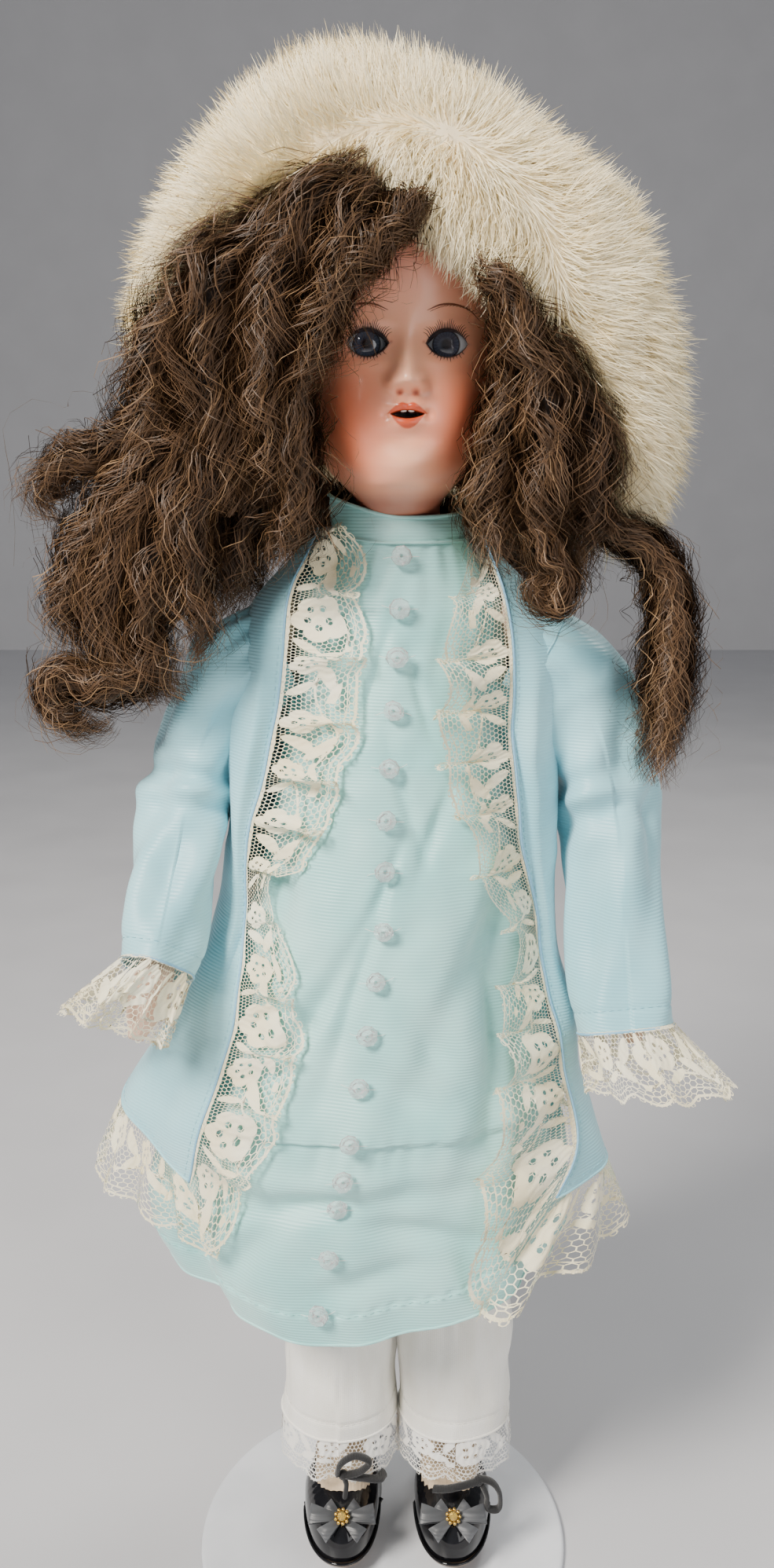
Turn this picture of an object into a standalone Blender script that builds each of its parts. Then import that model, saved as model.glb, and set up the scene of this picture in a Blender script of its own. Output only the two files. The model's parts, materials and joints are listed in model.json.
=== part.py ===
"""A bisque-headed, ball-jointed collector's doll in a taffeta dress, on its display stand.

Metres, +Z up, +X to the doll's left, the doll faces -Y.  The origin is the middle of the
stand's underside.  Each sub-part is one object; moving parts hang on an empty that sits on
their joint.
"""
import math
from math import cos, radians, sin

import bmesh
import bpy
from mathutils import Vector

# ---------------------------------------------------------------- driving dimensions
DOLL_HEIGHT = 0.438         # top of the skull above the table
BASE_RADIUS = 0.063
BASE_THICK = 0.0022
GAP = 0.0005                # clearance between parts that touch in real life
BODY_X = 0.005              # the doll stands a little to one side of the base's middle
BODY_Y = 0.008              # and a little behind it
ROD_Y = 0.050               # the stand's rod, behind the legs
ROD_R = 0.0022
POST_R = 0.0036
POST_TOP = 0.075
CLIP_Z = 0.234              # the waist clip grips here

NECK_Z = 0.338              # centre of the ball at the bottom of the head's neck
EYE_Z = 0.3945
EYE_SPREAD = 0.0106         # half the distance between the eyes
EYE_Y = -0.0123
EYE_R = 0.0066
MOUTH_Z = 0.3762
HEAD_Y = 0.004
HEAD_WALL = 0.0022

SHOULDER = Vector((0.036, BODY_Y, 0.318))   # left side; the right side mirrors it
UPPER_ARM = 0.058
FOREARM = 0.046
HAND = 0.032
UPPER_OUT = {"right": radians(24), "left": radians(28)}
LOWER_OUT = {"right": radians(12), "left": radians(6)}
ELBOW_BEND = {"right": radians(35), "left": radians(20)}
SLEEVE_LENGTH = {"right": 0.057, "left": 0.074}     # from the elbow to the cuff's seam

HIP = Vector((0.0185, BODY_Y, 0.188))
KNEE_Z = 0.112
ANKLE_Z = 0.030
TOE_SPRING = 0.0018            # how far the toes of the soles turn up
SOLE_Z = 0.0062             # underside of the shoes, held clear of the stand
BEADS = 16                  # crystal beads down the front
BEAD_R = 0.0030

SIDES = {"right": -1, "left": 1}


# ---------------------------------------------------------------- scene set-up
def clear_scene():
    for old in list(bpy.data.objects):
        bpy.data.objects.remove(old)


def new_collection(name):
    made = bpy.data.collections.new(name)
    bpy.context.scene.collection.children.link(made)
    return made


clear_scene()
DOLL = new_collection("porcelain_doll")
CUTTERS = new_collection("cutters")


def material(name, colour, roughness, metallic=0.0):
    """One Principled material for each kind of stuff, made once."""
    made = bpy.data.materials.get(name)
    if made is None:
        made = bpy.data.materials.new(name)
        made.use_nodes = True
        shader = made.node_tree.nodes["Principled BSDF"]
        shader.inputs["Base Color"].default_value = (*colour, 1.0)
        shader.inputs["Roughness"].default_value = roughness
        shader.inputs["Metallic"].default_value = metallic
    return made


MATERIALS = {
    "bisque": ((0.90, 0.62, 0.52), 0.35),
    "composition": ((0.83, 0.60, 0.46), 0.45),
    "glass_eye": ((0.80, 0.82, 0.84), 0.05),
    "teeth": ((0.90, 0.88, 0.82), 0.25),
    "mohair": ((0.10, 0.06, 0.035), 0.6),
    "fur": ((0.88, 0.81, 0.66), 0.9),
    "taffeta": ((0.55, 0.75, 0.78), 0.4),
    "coat_taffeta": ((0.50, 0.73, 0.80), 0.4),
    "lace": ((0.88, 0.85, 0.70), 0.8),
    "cotton": ((0.90, 0.87, 0.80), 0.9),
    "stocking": ((0.72, 0.62, 0.48), 0.85),
    "patent": ((0.012, 0.012, 0.014), 0.08),
    "ribbon": ((0.22, 0.23, 0.24), 0.35),
    "crystal": ((0.92, 0.95, 0.95), 0.02),
    "wood": ((0.50, 0.34, 0.20), 0.6),
    "elastic": ((0.75, 0.70, 0.62), 0.8),
    "cork": ((0.45, 0.30, 0.18), 0.9),
}
METALS = {
    "steel_wire": ((0.60, 0.60, 0.62), 0.3),
    "lead": ((0.30, 0.31, 0.33), 0.5),
    "gilt": ((0.83, 0.62, 0.22), 0.25),
    "enamelled_steel": ((0.80, 0.81, 0.83), 0.3),
}


def finish(obj, stuff, parent=None, name=None):
    """Puts the object in the doll's collection with its material, and hangs it on its joint."""
    if stuff in METALS:
        obj.data.materials.append(material(stuff, *METALS[stuff], 1.0))
    else:
        obj.data.materials.append(material(stuff, *MATERIALS[stuff]))
    for owner in list(obj.users_collection):
        owner.objects.unlink(obj)
    DOLL.objects.link(obj)
    if parent is not None:
        bpy.context.view_layer.update()
        obj.parent = parent
        obj.matrix_parent_inverse = parent.matrix_world.inverted()
    if name is not None:
        obj.name = name
    if obj.type == "MESH":
        obj.data.shade_smooth()
        obj.data.set_sharp_from_angle(angle=radians(40))
    return obj


def joint_empty(name, place, parent=None):
    made = bpy.data.objects.new(name, None)
    made.location = place
    DOLL.objects.link(made)
    if parent is not None:
        bpy.context.view_layer.update()
        made.parent = parent
        made.matrix_parent_inverse = parent.matrix_world.inverted()
    bpy.context.view_layer.update()
    return made


# ---------------------------------------------------------------- shape helpers
def mesh_object(name, bm):
    mesh = bpy.data.meshes.new(name)
    bmesh.ops.recalc_face_normals(bm, faces=bm.faces)
    bm.to_mesh(mesh)
    bm.free()
    made = bpy.data.objects.new(name, mesh)
    bpy.context.scene.collection.objects.link(made)
    return made


def egg_ring(z, half_width, front, back, centre=(0.0, BODY_Y), count=20, lean=0.0):
    """A level outline: half_width to each side, front towards -Y, back towards +Y.
    lean raises the +X side and drops the -X side by that much."""
    points = []
    for step in range(count):
        angle = 2 * math.pi * step / count
        reach = back if sin(angle) > 0 else front
        points.append(Vector((centre[0] + half_width * cos(angle),
                              centre[1] + reach * sin(angle),
                              z + lean * cos(angle))))
    return points


def round_ring(centre, along, radius, count=12, squash=1.0):
    """A circle of that radius square to the direction along."""
    along = Vector(along).normalized()
    side = along.cross(Vector((0, 1, 0))).normalized()
    other = along.cross(side)
    return [Vector(centre) + radius * (cos(a) * side + squash * sin(a) * other)
            for a in (2 * math.pi * k / count for k in range(count))]


def loft(name, rings, closed_ends=True, wrap=True):
    """Bridges rings of equal counts; the ends are capped unless closed_ends is False."""
    bm = bmesh.new()
    rows = [[bm.verts.new(p) for p in ring] for ring in rings]
    count = len(rows[0])
    spans = count if wrap else count - 1
    for low, high in zip(rows, rows[1:]):
        for k in range(spans):
            j = (k + 1) % count
            bm.faces.new((low[k], low[j], high[j], high[k]))
    if closed_ends and wrap:
        bm.faces.new(rows[0])
        bm.faces.new(rows[-1])
    return mesh_object(name, bm)


def thicken(obj, wall, offset=-1.0):
    """Turns an open surface into a shell of that wall; offset -1 grows it inwards."""
    solid = obj.modifiers.new("wall", "SOLIDIFY")
    solid.thickness = wall
    solid.offset = offset
    solid.use_even_offset = True
    return obj


def applied(obj):
    """A plain mesh object with the modifiers of obj applied; obj is removed."""
    bpy.context.view_layer.update()
    graph = bpy.context.evaluated_depsgraph_get()
    mesh = bpy.data.meshes.new_from_object(obj.evaluated_get(graph), depsgraph=graph)
    bm = bmesh.new()
    bm.from_mesh(mesh)
    bmesh.ops.remove_doubles(bm, verts=bm.verts, dist=1e-6)
    bm.to_mesh(mesh)
    bm.free()
    name, place = obj.name, obj.matrix_world.copy()
    bpy.data.objects.remove(obj)
    made = bpy.data.objects.new(name, mesh)
    made.matrix_world = place
    bpy.context.scene.collection.objects.link(made)
    return made


def combine(obj, other, operation):
    """Applies a Boolean with a helper object, which is then put away in the cutters."""
    cut = obj.modifiers.new(operation.lower(), "BOOLEAN")
    cut.operation = operation
    cut.object = other
    other.hide_render = True
    other.display_type = "WIRE"
    for owner in list(other.users_collection):
        owner.objects.unlink(other)
    CUTTERS.objects.link(other)
    return applied(obj)


def cylinder(name, radius, start, end, count=16, end_radius=None):
    """A cylinder or cone between two points."""
    start, end = Vector(start), Vector(end)
    span = end - start
    bm = bmesh.new()
    bmesh.ops.create_cone(bm, cap_ends=True, segments=count, radius1=radius,
                          radius2=radius if end_radius is None else end_radius,
                          depth=span.length)
    turn = Vector((0, 0, 1)).rotation_difference(span.normalized())
    bmesh.ops.rotate(bm, verts=bm.verts, matrix=turn.to_matrix())
    bmesh.ops.translate(bm, verts=bm.verts, vec=(start + end) / 2)
    return mesh_object(name, bm)


def ball(name, centre, radius, across=12, up=8, stretch=(1, 1, 1)):
    bm = bmesh.new()
    bmesh.ops.create_uvsphere(bm, u_segments=across, v_segments=up, radius=radius)
    bmesh.ops.scale(bm, verts=bm.verts, vec=stretch)
    bmesh.ops.translate(bm, verts=bm.verts, vec=Vector(centre))
    return mesh_object(name, bm)


def box(name, low, high):
    low, high = Vector(low), Vector(high)
    bm = bmesh.new()
    bmesh.ops.create_cube(bm, size=1.0)
    bmesh.ops.scale(bm, verts=bm.verts, vec=high - low)
    bmesh.ops.translate(bm, verts=bm.verts, vec=(low + high) / 2)
    return mesh_object(name, bm)


def wire(name, points, radius, radii=None, cyclic=False, round_steps=2):
    """A bent wire: a poly curve with a round bevel, made a mesh with welded caps."""
    curve = bpy.data.curves.new(name, "CURVE")
    curve.dimensions = "3D"
    curve.bevel_depth = radius
    curve.bevel_resolution = round_steps
    curve.use_fill_caps = True
    spline = curve.splines.new("POLY")
    spline.points.add(len(points) - 1)
    spline.use_cyclic_u = cyclic
    spline.points.foreach_set("co", [n for place in points for n in (*place, 1.0)])
    spline.points.foreach_set("radius", radii or [1.0] * len(points))
    made = bpy.data.objects.new(name, curve)
    bpy.context.scene.collection.objects.link(made)
    return applied(made)


# ---------------------------------------------------------------- the display stand
STAND_PIECES = ("stand_base", "stand_post", "stand_rod", "waist_clip")


def make_stand():
    base = cylinder("stand_base", BASE_RADIUS, (0, 0, 0), (0, 0, BASE_THICK), count=48)
    edge = base.modifiers.new("rolled_edge", "BEVEL")
    edge.width = 0.0008
    edge.segments = 1
    edge.limit_method = "ANGLE"
    finish(base, "enamelled_steel")

    post = cylinder("stand_post", POST_R, (0, ROD_Y, BASE_THICK + GAP), (0, ROD_Y, POST_TOP))
    foot = cylinder("post_foot", 2 * POST_R, (0, ROD_Y, BASE_THICK + GAP),
                    (0, ROD_Y, BASE_THICK + 0.006), end_radius=POST_R)
    bore = cylinder("post_bore", ROD_R + 0.0003, (0, ROD_Y, BASE_THICK + 0.004),
                    (0, ROD_Y, POST_TOP + 0.01))
    post = combine(post, foot, "UNION")
    finish(combine(post, bore, "DIFFERENCE"), "enamelled_steel")

    rod = cylinder("stand_rod", ROD_R, (0, ROD_Y, BASE_THICK + 0.008), (0, ROD_Y, CLIP_Z))
    finish(rod, "steel_wire")

    cap = cylinder("waist_clip", 0.0042, (0, ROD_Y, CLIP_Z - 0.008), (0, ROD_Y, CLIP_Z + 0.003))
    bore = cylinder("clip_bore", ROD_R + 0.0004, (0, ROD_Y, CLIP_Z - 0.010),
                    (0, ROD_Y, CLIP_Z + GAP))
    cap = combine(cap, bore, "DIFFERENCE")
    wide, deep = WAIST[1] + 0.0028, WAIST[2] + 0.0028
    hoop = []
    for step in range(17):
        angle = radians(-62 + step * (304 / 16))
        hoop.append((BODY_X + wide * cos(angle), BODY_Y + deep * sin(angle), CLIP_Z))
    grip = wire("clip_hoop", hoop, 0.0012, round_steps=1)
    stem = cylinder("clip_stem", 0.0017, (0.7 * BODY_X, BODY_Y + deep - 0.0002, CLIP_Z),
                    (0, ROD_Y - 0.0034, CLIP_Z), count=10)
    cap = combine(cap, stem, "UNION")
    finish(combine(cap, grip, "UNION"), "steel_wire")


# ---------------------------------------------------------------- the composition body
# z, half width, half depth of the bare torso
TORSO = (
    (0.176, 0.020, 0.013),
    (0.190, 0.031, 0.018),
    (0.206, 0.032, 0.019),
    (0.222, 0.027, 0.0175),
    (0.240, 0.0245, 0.0165),
    (0.262, 0.026, 0.0185),
    (0.290, 0.029, 0.0195),
    (0.312, 0.029, 0.0185),
    (0.326, 0.025, 0.016),
    (0.336, 0.016, 0.013),
)
WAIST = TORSO[4]


def make_torso():
    outer = [egg_ring(z, w, d, d, count=16) for z, w, d in TORSO]
    torso = applied(thicken(loft("torso_shell", outer, closed_ends=False), 0.003))
    neck_seat = ball("neck_seat", (0, BODY_Y, NECK_Z + 0.001), 0.0145, across=16, up=10)
    torso = combine(torso, neck_seat, "DIFFERENCE")
    arm_holes = cylinder("arm_holes", 0.0105, (-0.05, BODY_Y, SHOULDER.z),
                         (0.05, BODY_Y, SHOULDER.z))
    torso = combine(torso, arm_holes, "DIFFERENCE")
    for side, sign in SIDES.items():
        seat = ball(side + "_hip_seat", (sign * HIP.x, HIP.y, HIP.z), 0.0152, across=14, up=10)
        torso = combine(torso, seat, "DIFFERENCE")
        room = cylinder(side + "_leg_room", 0.0152, (sign * HIP.x, HIP.y, HIP.z - 0.002),
                        (sign * HIP.x, HIP.y, HIP.z - 0.03), count=14)
        torso = combine(torso, room, "DIFFERENCE")
    finish(torso, "composition", name="torso")

    reach = SHOULDER.x - 0.013
    cord = [(-reach, BODY_Y, SHOULDER.z), (-0.006, BODY_Y + 0.004, SHOULDER.z),
            (0.006, BODY_Y + 0.004, SHOULDER.z), (reach, BODY_Y, SHOULDER.z)]
    finish(wire("arm_elastic", cord, 0.0012, round_steps=1), "elastic")
    hook_z = 0.296
    loop = [(-0.011, HIP.y, HIP.z + 0.0165), (-0.010, BODY_Y, 0.230), (-0.0035, BODY_Y, hook_z - 0.004),
            (0, BODY_Y, hook_z), (0.0035, BODY_Y, hook_z - 0.004), (0.010, BODY_Y, 0.230),
            (0.011, HIP.y, HIP.z + 0.0165)]
    finish(wire("leg_elastic", loop, 0.0012, round_steps=1), "elastic")


def arm_points(side):
    """Shoulder, elbow, wrist and fingertip of one arm at rest."""
    sign, bend = SIDES[side], ELBOW_BEND[side]
    out, low_out = UPPER_OUT[side], LOWER_OUT[side]
    shoulder = Vector((sign * SHOULDER.x, SHOULDER.y, SHOULDER.z))
    upper = Vector((sign * sin(out), 0, -cos(out)))
    lower = Vector((sign * sin(low_out), -sin(bend) * cos(low_out), -cos(bend) * cos(low_out)))
    elbow = shoulder + UPPER_ARM * upper
    wrist = elbow + FOREARM * lower
    return shoulder, elbow, wrist, wrist + HAND * lower


def limb(name, start, end, radii, count=12):
    """A turned limb between two points: radii at even steps along it."""
    start, end = Vector(start), Vector(end)
    last = len(radii) - 1
    rings = [round_ring(start.lerp(end, k / last), end - start, r, count)
             for k, r in enumerate(radii)]
    return loft(name, rings)


def make_arm(side):
    shoulder, elbow, wrist, tip = arm_points(side)
    swing = joint_empty(side + "_shoulder", shoulder)
    fold = joint_empty(side + "_elbow", elbow, swing)
    twist = joint_empty(side + "_wrist", wrist, fold)
    upper_way = (elbow - shoulder).normalized()
    lower_way = (wrist - elbow).normalized()

    upper = limb(side + "_upper_arm", shoulder + 0.002 * upper_way, elbow - 0.0036 * upper_way,
                 (0.0066, 0.0071, 0.0071, 0.0068, 0.0062, 0.0054))
    head = ball(side + "_shoulder_ball", shoulder, 0.0084)
    upper = combine(upper, head, "UNION")
    cup = ball(side + "_elbow_cup", elbow, 0.0055)
    finish(combine(upper, cup, "DIFFERENCE"), "composition", swing)

    finish(ball(side + "_elbow_ball", elbow, 0.0050), "composition", fold)
    lower = limb(side + "_forearm", elbow + 0.0044 * lower_way, wrist - 0.0030 * lower_way,
                 (0.0052, 0.0060, 0.0060, 0.0052, 0.0044))
    cup = ball(side + "_forearm_cup", elbow, 0.0054)
    finish(combine(lower, cup, "DIFFERENCE"), "composition", fold)

    hand = limb(side + "_hand", wrist - 0.0024 * lower_way, tip,
                (0.0038, 0.0044, 0.0056, 0.0060, 0.0048, 0.0022), count=10)
    finish(hand, "composition", twist)


def make_leg(side):
    sign = SIDES[side]
    hip = Vector((sign * HIP.x, HIP.y, HIP.z))
    knee = Vector((sign * HIP.x, HIP.y, KNEE_Z))
    ankle = Vector((sign * HIP.x, HIP.y + 0.004, ANKLE_Z))
    swing = joint_empty(side + "_hip", hip)
    fold = joint_empty(side + "_knee", knee, swing)

    thigh = limb(side + "_thigh", hip - Vector((0, 0, 0.006)), knee + Vector((0, 0, 0.0008)),
                 (0.0118, 0.0136, 0.0134, 0.0122, 0.0104, 0.0084))
    head = ball(side + "_hip_ball", hip, 0.0140, across=14, up=10)
    thigh = combine(thigh, head, "UNION")
    cup = ball(side + "_knee_cup", knee, 0.0077)
    finish(combine(thigh, cup, "DIFFERENCE"), "composition", swing)
    finish(ball(side + "_knee_ball", knee, 0.0070), "composition", fold)

    shin = limb(side + "_shin", knee - Vector((0, 0, 0.0024)), ankle - Vector((0, 0, 0.010)),
                (0.0080, 0.0096, 0.0104, 0.0096, 0.0080, 0.0070))
    cup = ball(side + "_shin_cup", knee, 0.0076)
    shin = combine(shin, cup, "DIFFERENCE")
    foot_rings = []
    for along, half, low, high in ((0.0170, 0.004, 0.0105, 0.016), (0.013, 0.0070, 0.0092, 0.020),
                                   (0.003, 0.0078, 0.0092, 0.024), (-0.010, 0.0084, 0.0092, 0.0155),
                                   (-0.022, 0.0070, 0.0098, 0.0130), (-0.029, 0.0040, 0.0110, 0.0127)):
        middle = (low + high) / 2
        foot_rings.append([Vector((sign * HIP.x + half * cos(a), ankle.y + along,
                                   middle + (high - low) / 2 * sin(a)))
                           for a in (2 * math.pi * k / 12 for k in range(12))])
    foot = loft(side + "_foot", foot_rings)
    finish(combine(shin, foot, "UNION"), "composition", fold)
    return fold, ankle


# ---------------------------------------------------------------- the bisque head
# z, half width, front, back of the outside, from the neck's ball up to the crown's rim
HEAD = (
    (0.3262, 0.0060, 0.0060, 0.0060),
    (0.3290, 0.0098, 0.0098, 0.0098),
    (0.3340, 0.0128, 0.0126, 0.0126),
    (0.3400, 0.0126, 0.0124, 0.0126),
    (0.3470, 0.0126, 0.0120, 0.0140),
    (0.3525, 0.0140, 0.0220, 0.0170),
    (0.3580, 0.0200, 0.0295, 0.0215),
    (0.3680, 0.0248, 0.0320, 0.0270),
    (0.3800, 0.0268, 0.0315, 0.0320),
    (0.3945, 0.0276, 0.0305, 0.0345),
    (0.4080, 0.0280, 0.0310, 0.0350),
    (0.4200, 0.0268, 0.0290, 0.0330),
    (0.4285, 0.0240, 0.0245, 0.0290),
)
CROWN_Z = HEAD[-1][0]


def head_centre_y(z):
    """The neck stands on the body's axis and the skull a little in front of it."""
    share = min(1.0, max(0.0, (z - 0.340) / 0.018))
    return BODY_Y + (HEAD_Y - BODY_Y) * share


def make_head():
    nod = joint_empty("neck_ball", (0, BODY_Y, NECK_Z))
    rings = [egg_ring(z, w, f, b, centre=(0, head_centre_y(z)), count=24) for z, w, f, b in HEAD]
    head = applied(thicken(loft("head_shell", rings, closed_ends=False), HEAD_WALL))
    for side, sign in SIDES.items():
        place = Vector((sign * EYE_SPREAD, HEAD_Y - 0.020, EYE_Z))
        opening = ball(side + "_eye_opening", place, 0.0052, across=16, up=8,
                       stretch=(1.0, 2.6, 0.64))
        head = combine(head, opening, "DIFFERENCE")
    lips = ball("mouth_opening", (0, HEAD_Y - 0.029, MOUTH_Z), 0.0042, across=14, up=8,
                stretch=(1.0, 2.0, 0.36))
    finish(combine(head, lips, "DIFFERENCE"), "bisque", nod, "head")

    rim = [egg_ring(z, w, f, b, centre=(0, HEAD_Y), count=20)
           for z, w, f, b in ((CROWN_Z + GAP, 0.0215, 0.0215, 0.0265),
                              (CROWN_Z + 0.005, 0.0185, 0.0185, 0.0235),
                              (CROWN_Z + 0.0080, 0.0125, 0.0125, 0.0165),
                              (DOLL_HEIGHT, 0.0040, 0.0040, 0.0050))]
    finish(loft("pate", rim), "cork", nod)

    front = HEAD_Y - 0.0289
    teeth = box("upper_teeth", (-0.0030, front, MOUTH_Z + 0.0004), (0.0030, front + 0.0012, MOUTH_Z + 0.0022))
    soft = teeth.modifiers.new("rounded", "BEVEL")
    soft.width = 0.0003
    finish(teeth, "teeth", nod)

    button = cylinder("neck_button", 0.0085, (0, BODY_Y, NECK_Z + 0.0010),
                      (0, BODY_Y, NECK_Z + 0.0050), count=14)
    bore = cylinder("button_bore", 0.0018, (0, BODY_Y, NECK_Z - 0.002),
                    (0, BODY_Y, NECK_Z + 0.008), count=10)
    finish(combine(button, bore, "DIFFERENCE"), "wood", nod)
    hook = [(0.0034, BODY_Y, NECK_Z + 0.0064), (-0.0010, BODY_Y, NECK_Z + 0.0064),
            (0, BODY_Y, NECK_Z + 0.0035), (0, BODY_Y, 0.306), (0, BODY_Y + 0.0034, 0.3015),
            (0, BODY_Y + 0.0034, 0.2955), (0, BODY_Y + 0.0015, 0.2930),
            (0, BODY_Y - 0.0015, 0.2930), (0, BODY_Y - 0.0034, 0.2955),
            (0, BODY_Y - 0.0034, 0.2990)]
    finish(wire("neck_hook", hook, 0.0008, round_steps=1), "steel_wire", nod)
    return nod


def make_eyes(nod):
    sleep = joint_empty("eye_axle", (0, EYE_Y, EYE_Z), nod)
    for side, sign in SIDES.items():
        eye = ball(side + "_eye", (sign * EYE_SPREAD, EYE_Y, EYE_Z), EYE_R, across=16, up=10)
        finish(eye, "glass_eye", sleep)
    inner = EYE_SPREAD - EYE_R - 0.0004
    yoke_y, weight_z = EYE_Y + 0.010, EYE_Z - 0.021
    bar = cylinder("eye_rocker", 0.0013, (-inner, EYE_Y, EYE_Z), (inner, EYE_Y, EYE_Z), count=8)
    arm = wire("rocker_arm", [(0, EYE_Y, EYE_Z), (0, yoke_y, EYE_Z - 0.004),
                              (0, yoke_y, weight_z + 0.0052)], 0.0009, round_steps=1)
    finish(combine(bar, arm, "UNION"), "steel_wire", sleep)
    finish(ball("eye_weight", (0, yoke_y, weight_z), 0.0046, across=10, up=6), "lead", sleep)


# ---------------------------------------------------------------- hair and hat
def make_wig(nod):
    """The wig's cap and its two masses of curls as one plain soft solid."""
    levels = ((0.3620, 0.0330, 0.004, 0.0400), (0.3800, 0.0345, 0.012, 0.0410),
              (0.4000, 0.0350, 0.020, 0.0425), (0.4200, 0.0335, 0.032, 0.0410),
              (0.4350, 0.0280, 0.0215, 0.0350), (0.4440, 0.0160, 0.003, 0.0220))
    outer = [egg_ring(z, w, f, b, centre=(0, HEAD_Y), count=20) for z, w, f, b in levels]
    cap = loft("wig", outer)
    hollow = [(0.350, 0.0160, 0.024, 0.020)]
    hollow += [(z, w + 0.0010, f + 0.0010, b + 0.0010) for z, w, f, b in HEAD[7:]]
    hollow += [(0.4350, 0.0210, 0.0210, 0.0260), (0.4395, 0.0080, 0.0080, 0.0100)]
    room = loft("skull_room", [egg_ring(z, w, f, b, centre=(0, HEAD_Y), count=20)
                               for z, w, f, b in hollow])
    cap = combine(cap, room, "DIFFERENCE")
    face = box("face_room", (-0.0275, -0.060, 0.340), (0.0275, HEAD_Y - 0.004, 0.4130))
    cap = combine(cap, face, "DIFFERENCE")
    fall = (((0.0345, -0.002, 0.391), 0.0056), ((0.0372, -0.0125, 0.3695), 0.0087),
            ((0.0430, -0.013, 0.354), 0.0110), ((0.0580, -0.010, 0.344), 0.0130),
            ((0.0780, -0.006, 0.327), 0.0140), ((0.0870, -0.004, 0.304), 0.0120),
            ((0.0870, -0.004, 0.286), 0.0060))
    for side, sign in SIDES.items():
        path = [(sign * x, y, z) for (x, y, z), _ in fall]
        lock = wire(side + "_fall", path, 1.0, [r for _, r in fall], round_steps=2)
        cap = combine(cap, lock, "UNION")
    finish(cap, "mohair", nod)


BRIM_R = 0.0150


def brim_path(count=15):
    """The fur roll's arch from one cheek over the brow to the other."""
    path = []
    for step in range(count):
        angle = radians(-20 + step * (220 / (count - 1)))
        path.append(Vector((0.0640 * cos(angle), -0.006 - 0.010 * max(0.0, sin(angle)),
                            0.3930 + 0.0610 * sin(angle))))
    return path


def make_hat(nod):
    radii = [BRIM_R * (0.72 + 0.28 * sin(math.pi * k / 14)) for k in range(15)]
    finish(wire("hat_brim", brim_path(), 1.0, radii, round_steps=3), "fur", nod)
    crown = ball("hat_crown", (0, 0.018, 0.402), 0.060, across=24, up=14,
                 stretch=(0.98, 0.86, 1.0))
    inside = ball("crown_inside", (0, 0.018, 0.402), 0.0565, across=24, up=14,
                  stretch=(0.98, 0.86, 1.0))
    crown = combine(crown, inside, "DIFFERENCE")
    crown = combine(crown, box("crown_front", (-0.1, -0.1, 0.3), (0.1, 0.0135, 0.5)), "DIFFERENCE")
    crown = combine(crown, box("crown_low", (-0.1, -0.1, 0.3), (0.1, 0.1, 0.356)), "DIFFERENCE")
    finish(crown, "fur", nod)


# ---------------------------------------------------------------- the clothes
# z, half width, front, back of the dress's outside; the skirt hangs over towards -X
DRESS = (
    (0.100, 0.0680, 0.0500, 0.0500, -0.0125),
    (0.140, 0.0620, 0.0480, 0.0500, -0.0100),
    (0.185, 0.0530, 0.0440, 0.0490, -0.0050),
    (0.215, 0.0460, 0.0390, 0.0480, -0.0010),
    (0.240, 0.0415, 0.0350, 0.0480, 0.0),
    (0.262, 0.0390, 0.0310, 0.0350, 0.0),
    (0.285, 0.0345, 0.0275, 0.0275, 0.0),
    (0.302, 0.0305, 0.0245, 0.0235, 0.0),
    (0.318, 0.0312, 0.0225, 0.0215, 0.0),
    (0.328, 0.0285, 0.0200, 0.0190, 0.0),
    (0.334, 0.0235, 0.0180, 0.0170, 0.0),
    (0.338, 0.0185, 0.0172, 0.0162, 0.0),
)
HEM_LEAN = 0.008


def armhole_cutter(name, radius):
    return cylinder(name, radius, (-0.09, BODY_Y, SHOULDER.z - 0.001),
                    (0.09, BODY_Y, SHOULDER.z - 0.001), count=16)


def make_dress():
    rings = [egg_ring(z, w, f, b, centre=(x, BODY_Y), count=24, lean=HEM_LEAN if z < 0.1 else 0.0)
             for z, w, f, b, x in DRESS]
    dress = applied(thicken(loft("dress", rings, closed_ends=False), 0.0009))
    finish(combine(dress, armhole_cutter("dress_armholes", 0.0106), "DIFFERENCE"), "taffeta")

    collar_rings = [egg_ring(z, w, f, b, count=20, centre=(0, BODY_Y)) for z, w, f, b in
                    ((0.3386, 0.0180, 0.0172, 0.0162), (0.3425, 0.0172, 0.0166, 0.0164),
                     (0.3468, 0.0168, 0.0162, 0.0172))]
    finish(thicken(loft("dress_collar", collar_rings, closed_ends=False), 0.0009), "taffeta")

    finish(make_bead_string(), "crystal")


def dress_front(z):
    """Where the dress's front surface lies at that height: x of its middle line and y."""
    for low, high in zip(DRESS, DRESS[1:]):
        if low[0] <= z <= high[0]:
            share = (z - low[0]) / (high[0] - low[0])
            mix = [a + (b - a) * share for a, b in zip(low, high)]
            return mix[4], BODY_Y - mix[2]
    raise ValueError("height outside the dress")


def make_bead_string():
    """The crystal beads on the sewing thread that ties them: one body, swollen at each bead."""
    top, bottom = 0.3345, 0.112
    points, radii = [], []
    for k in range(BEADS):
        z = top + (bottom - top) * k / (BEADS - 1)
        for step, radius in ((1.0, 0.3), (0.75, 0.75), (0.0, 1.0), (-0.75, 0.75), (-1.0, 0.3)):
            at = z + step * BEAD_R
            middle, y = dress_front(max(at, DRESS[0][0]))
            drift = -0.010 * max(0.0, (top - at) / (top - bottom)) ** 1.5
            points.append((middle + drift, y - BEAD_R - 0.0010, at))
            radii.append(radius * BEAD_R)
    return wire("crystal_buttons", points, 1.0, radii, round_steps=1)


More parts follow.
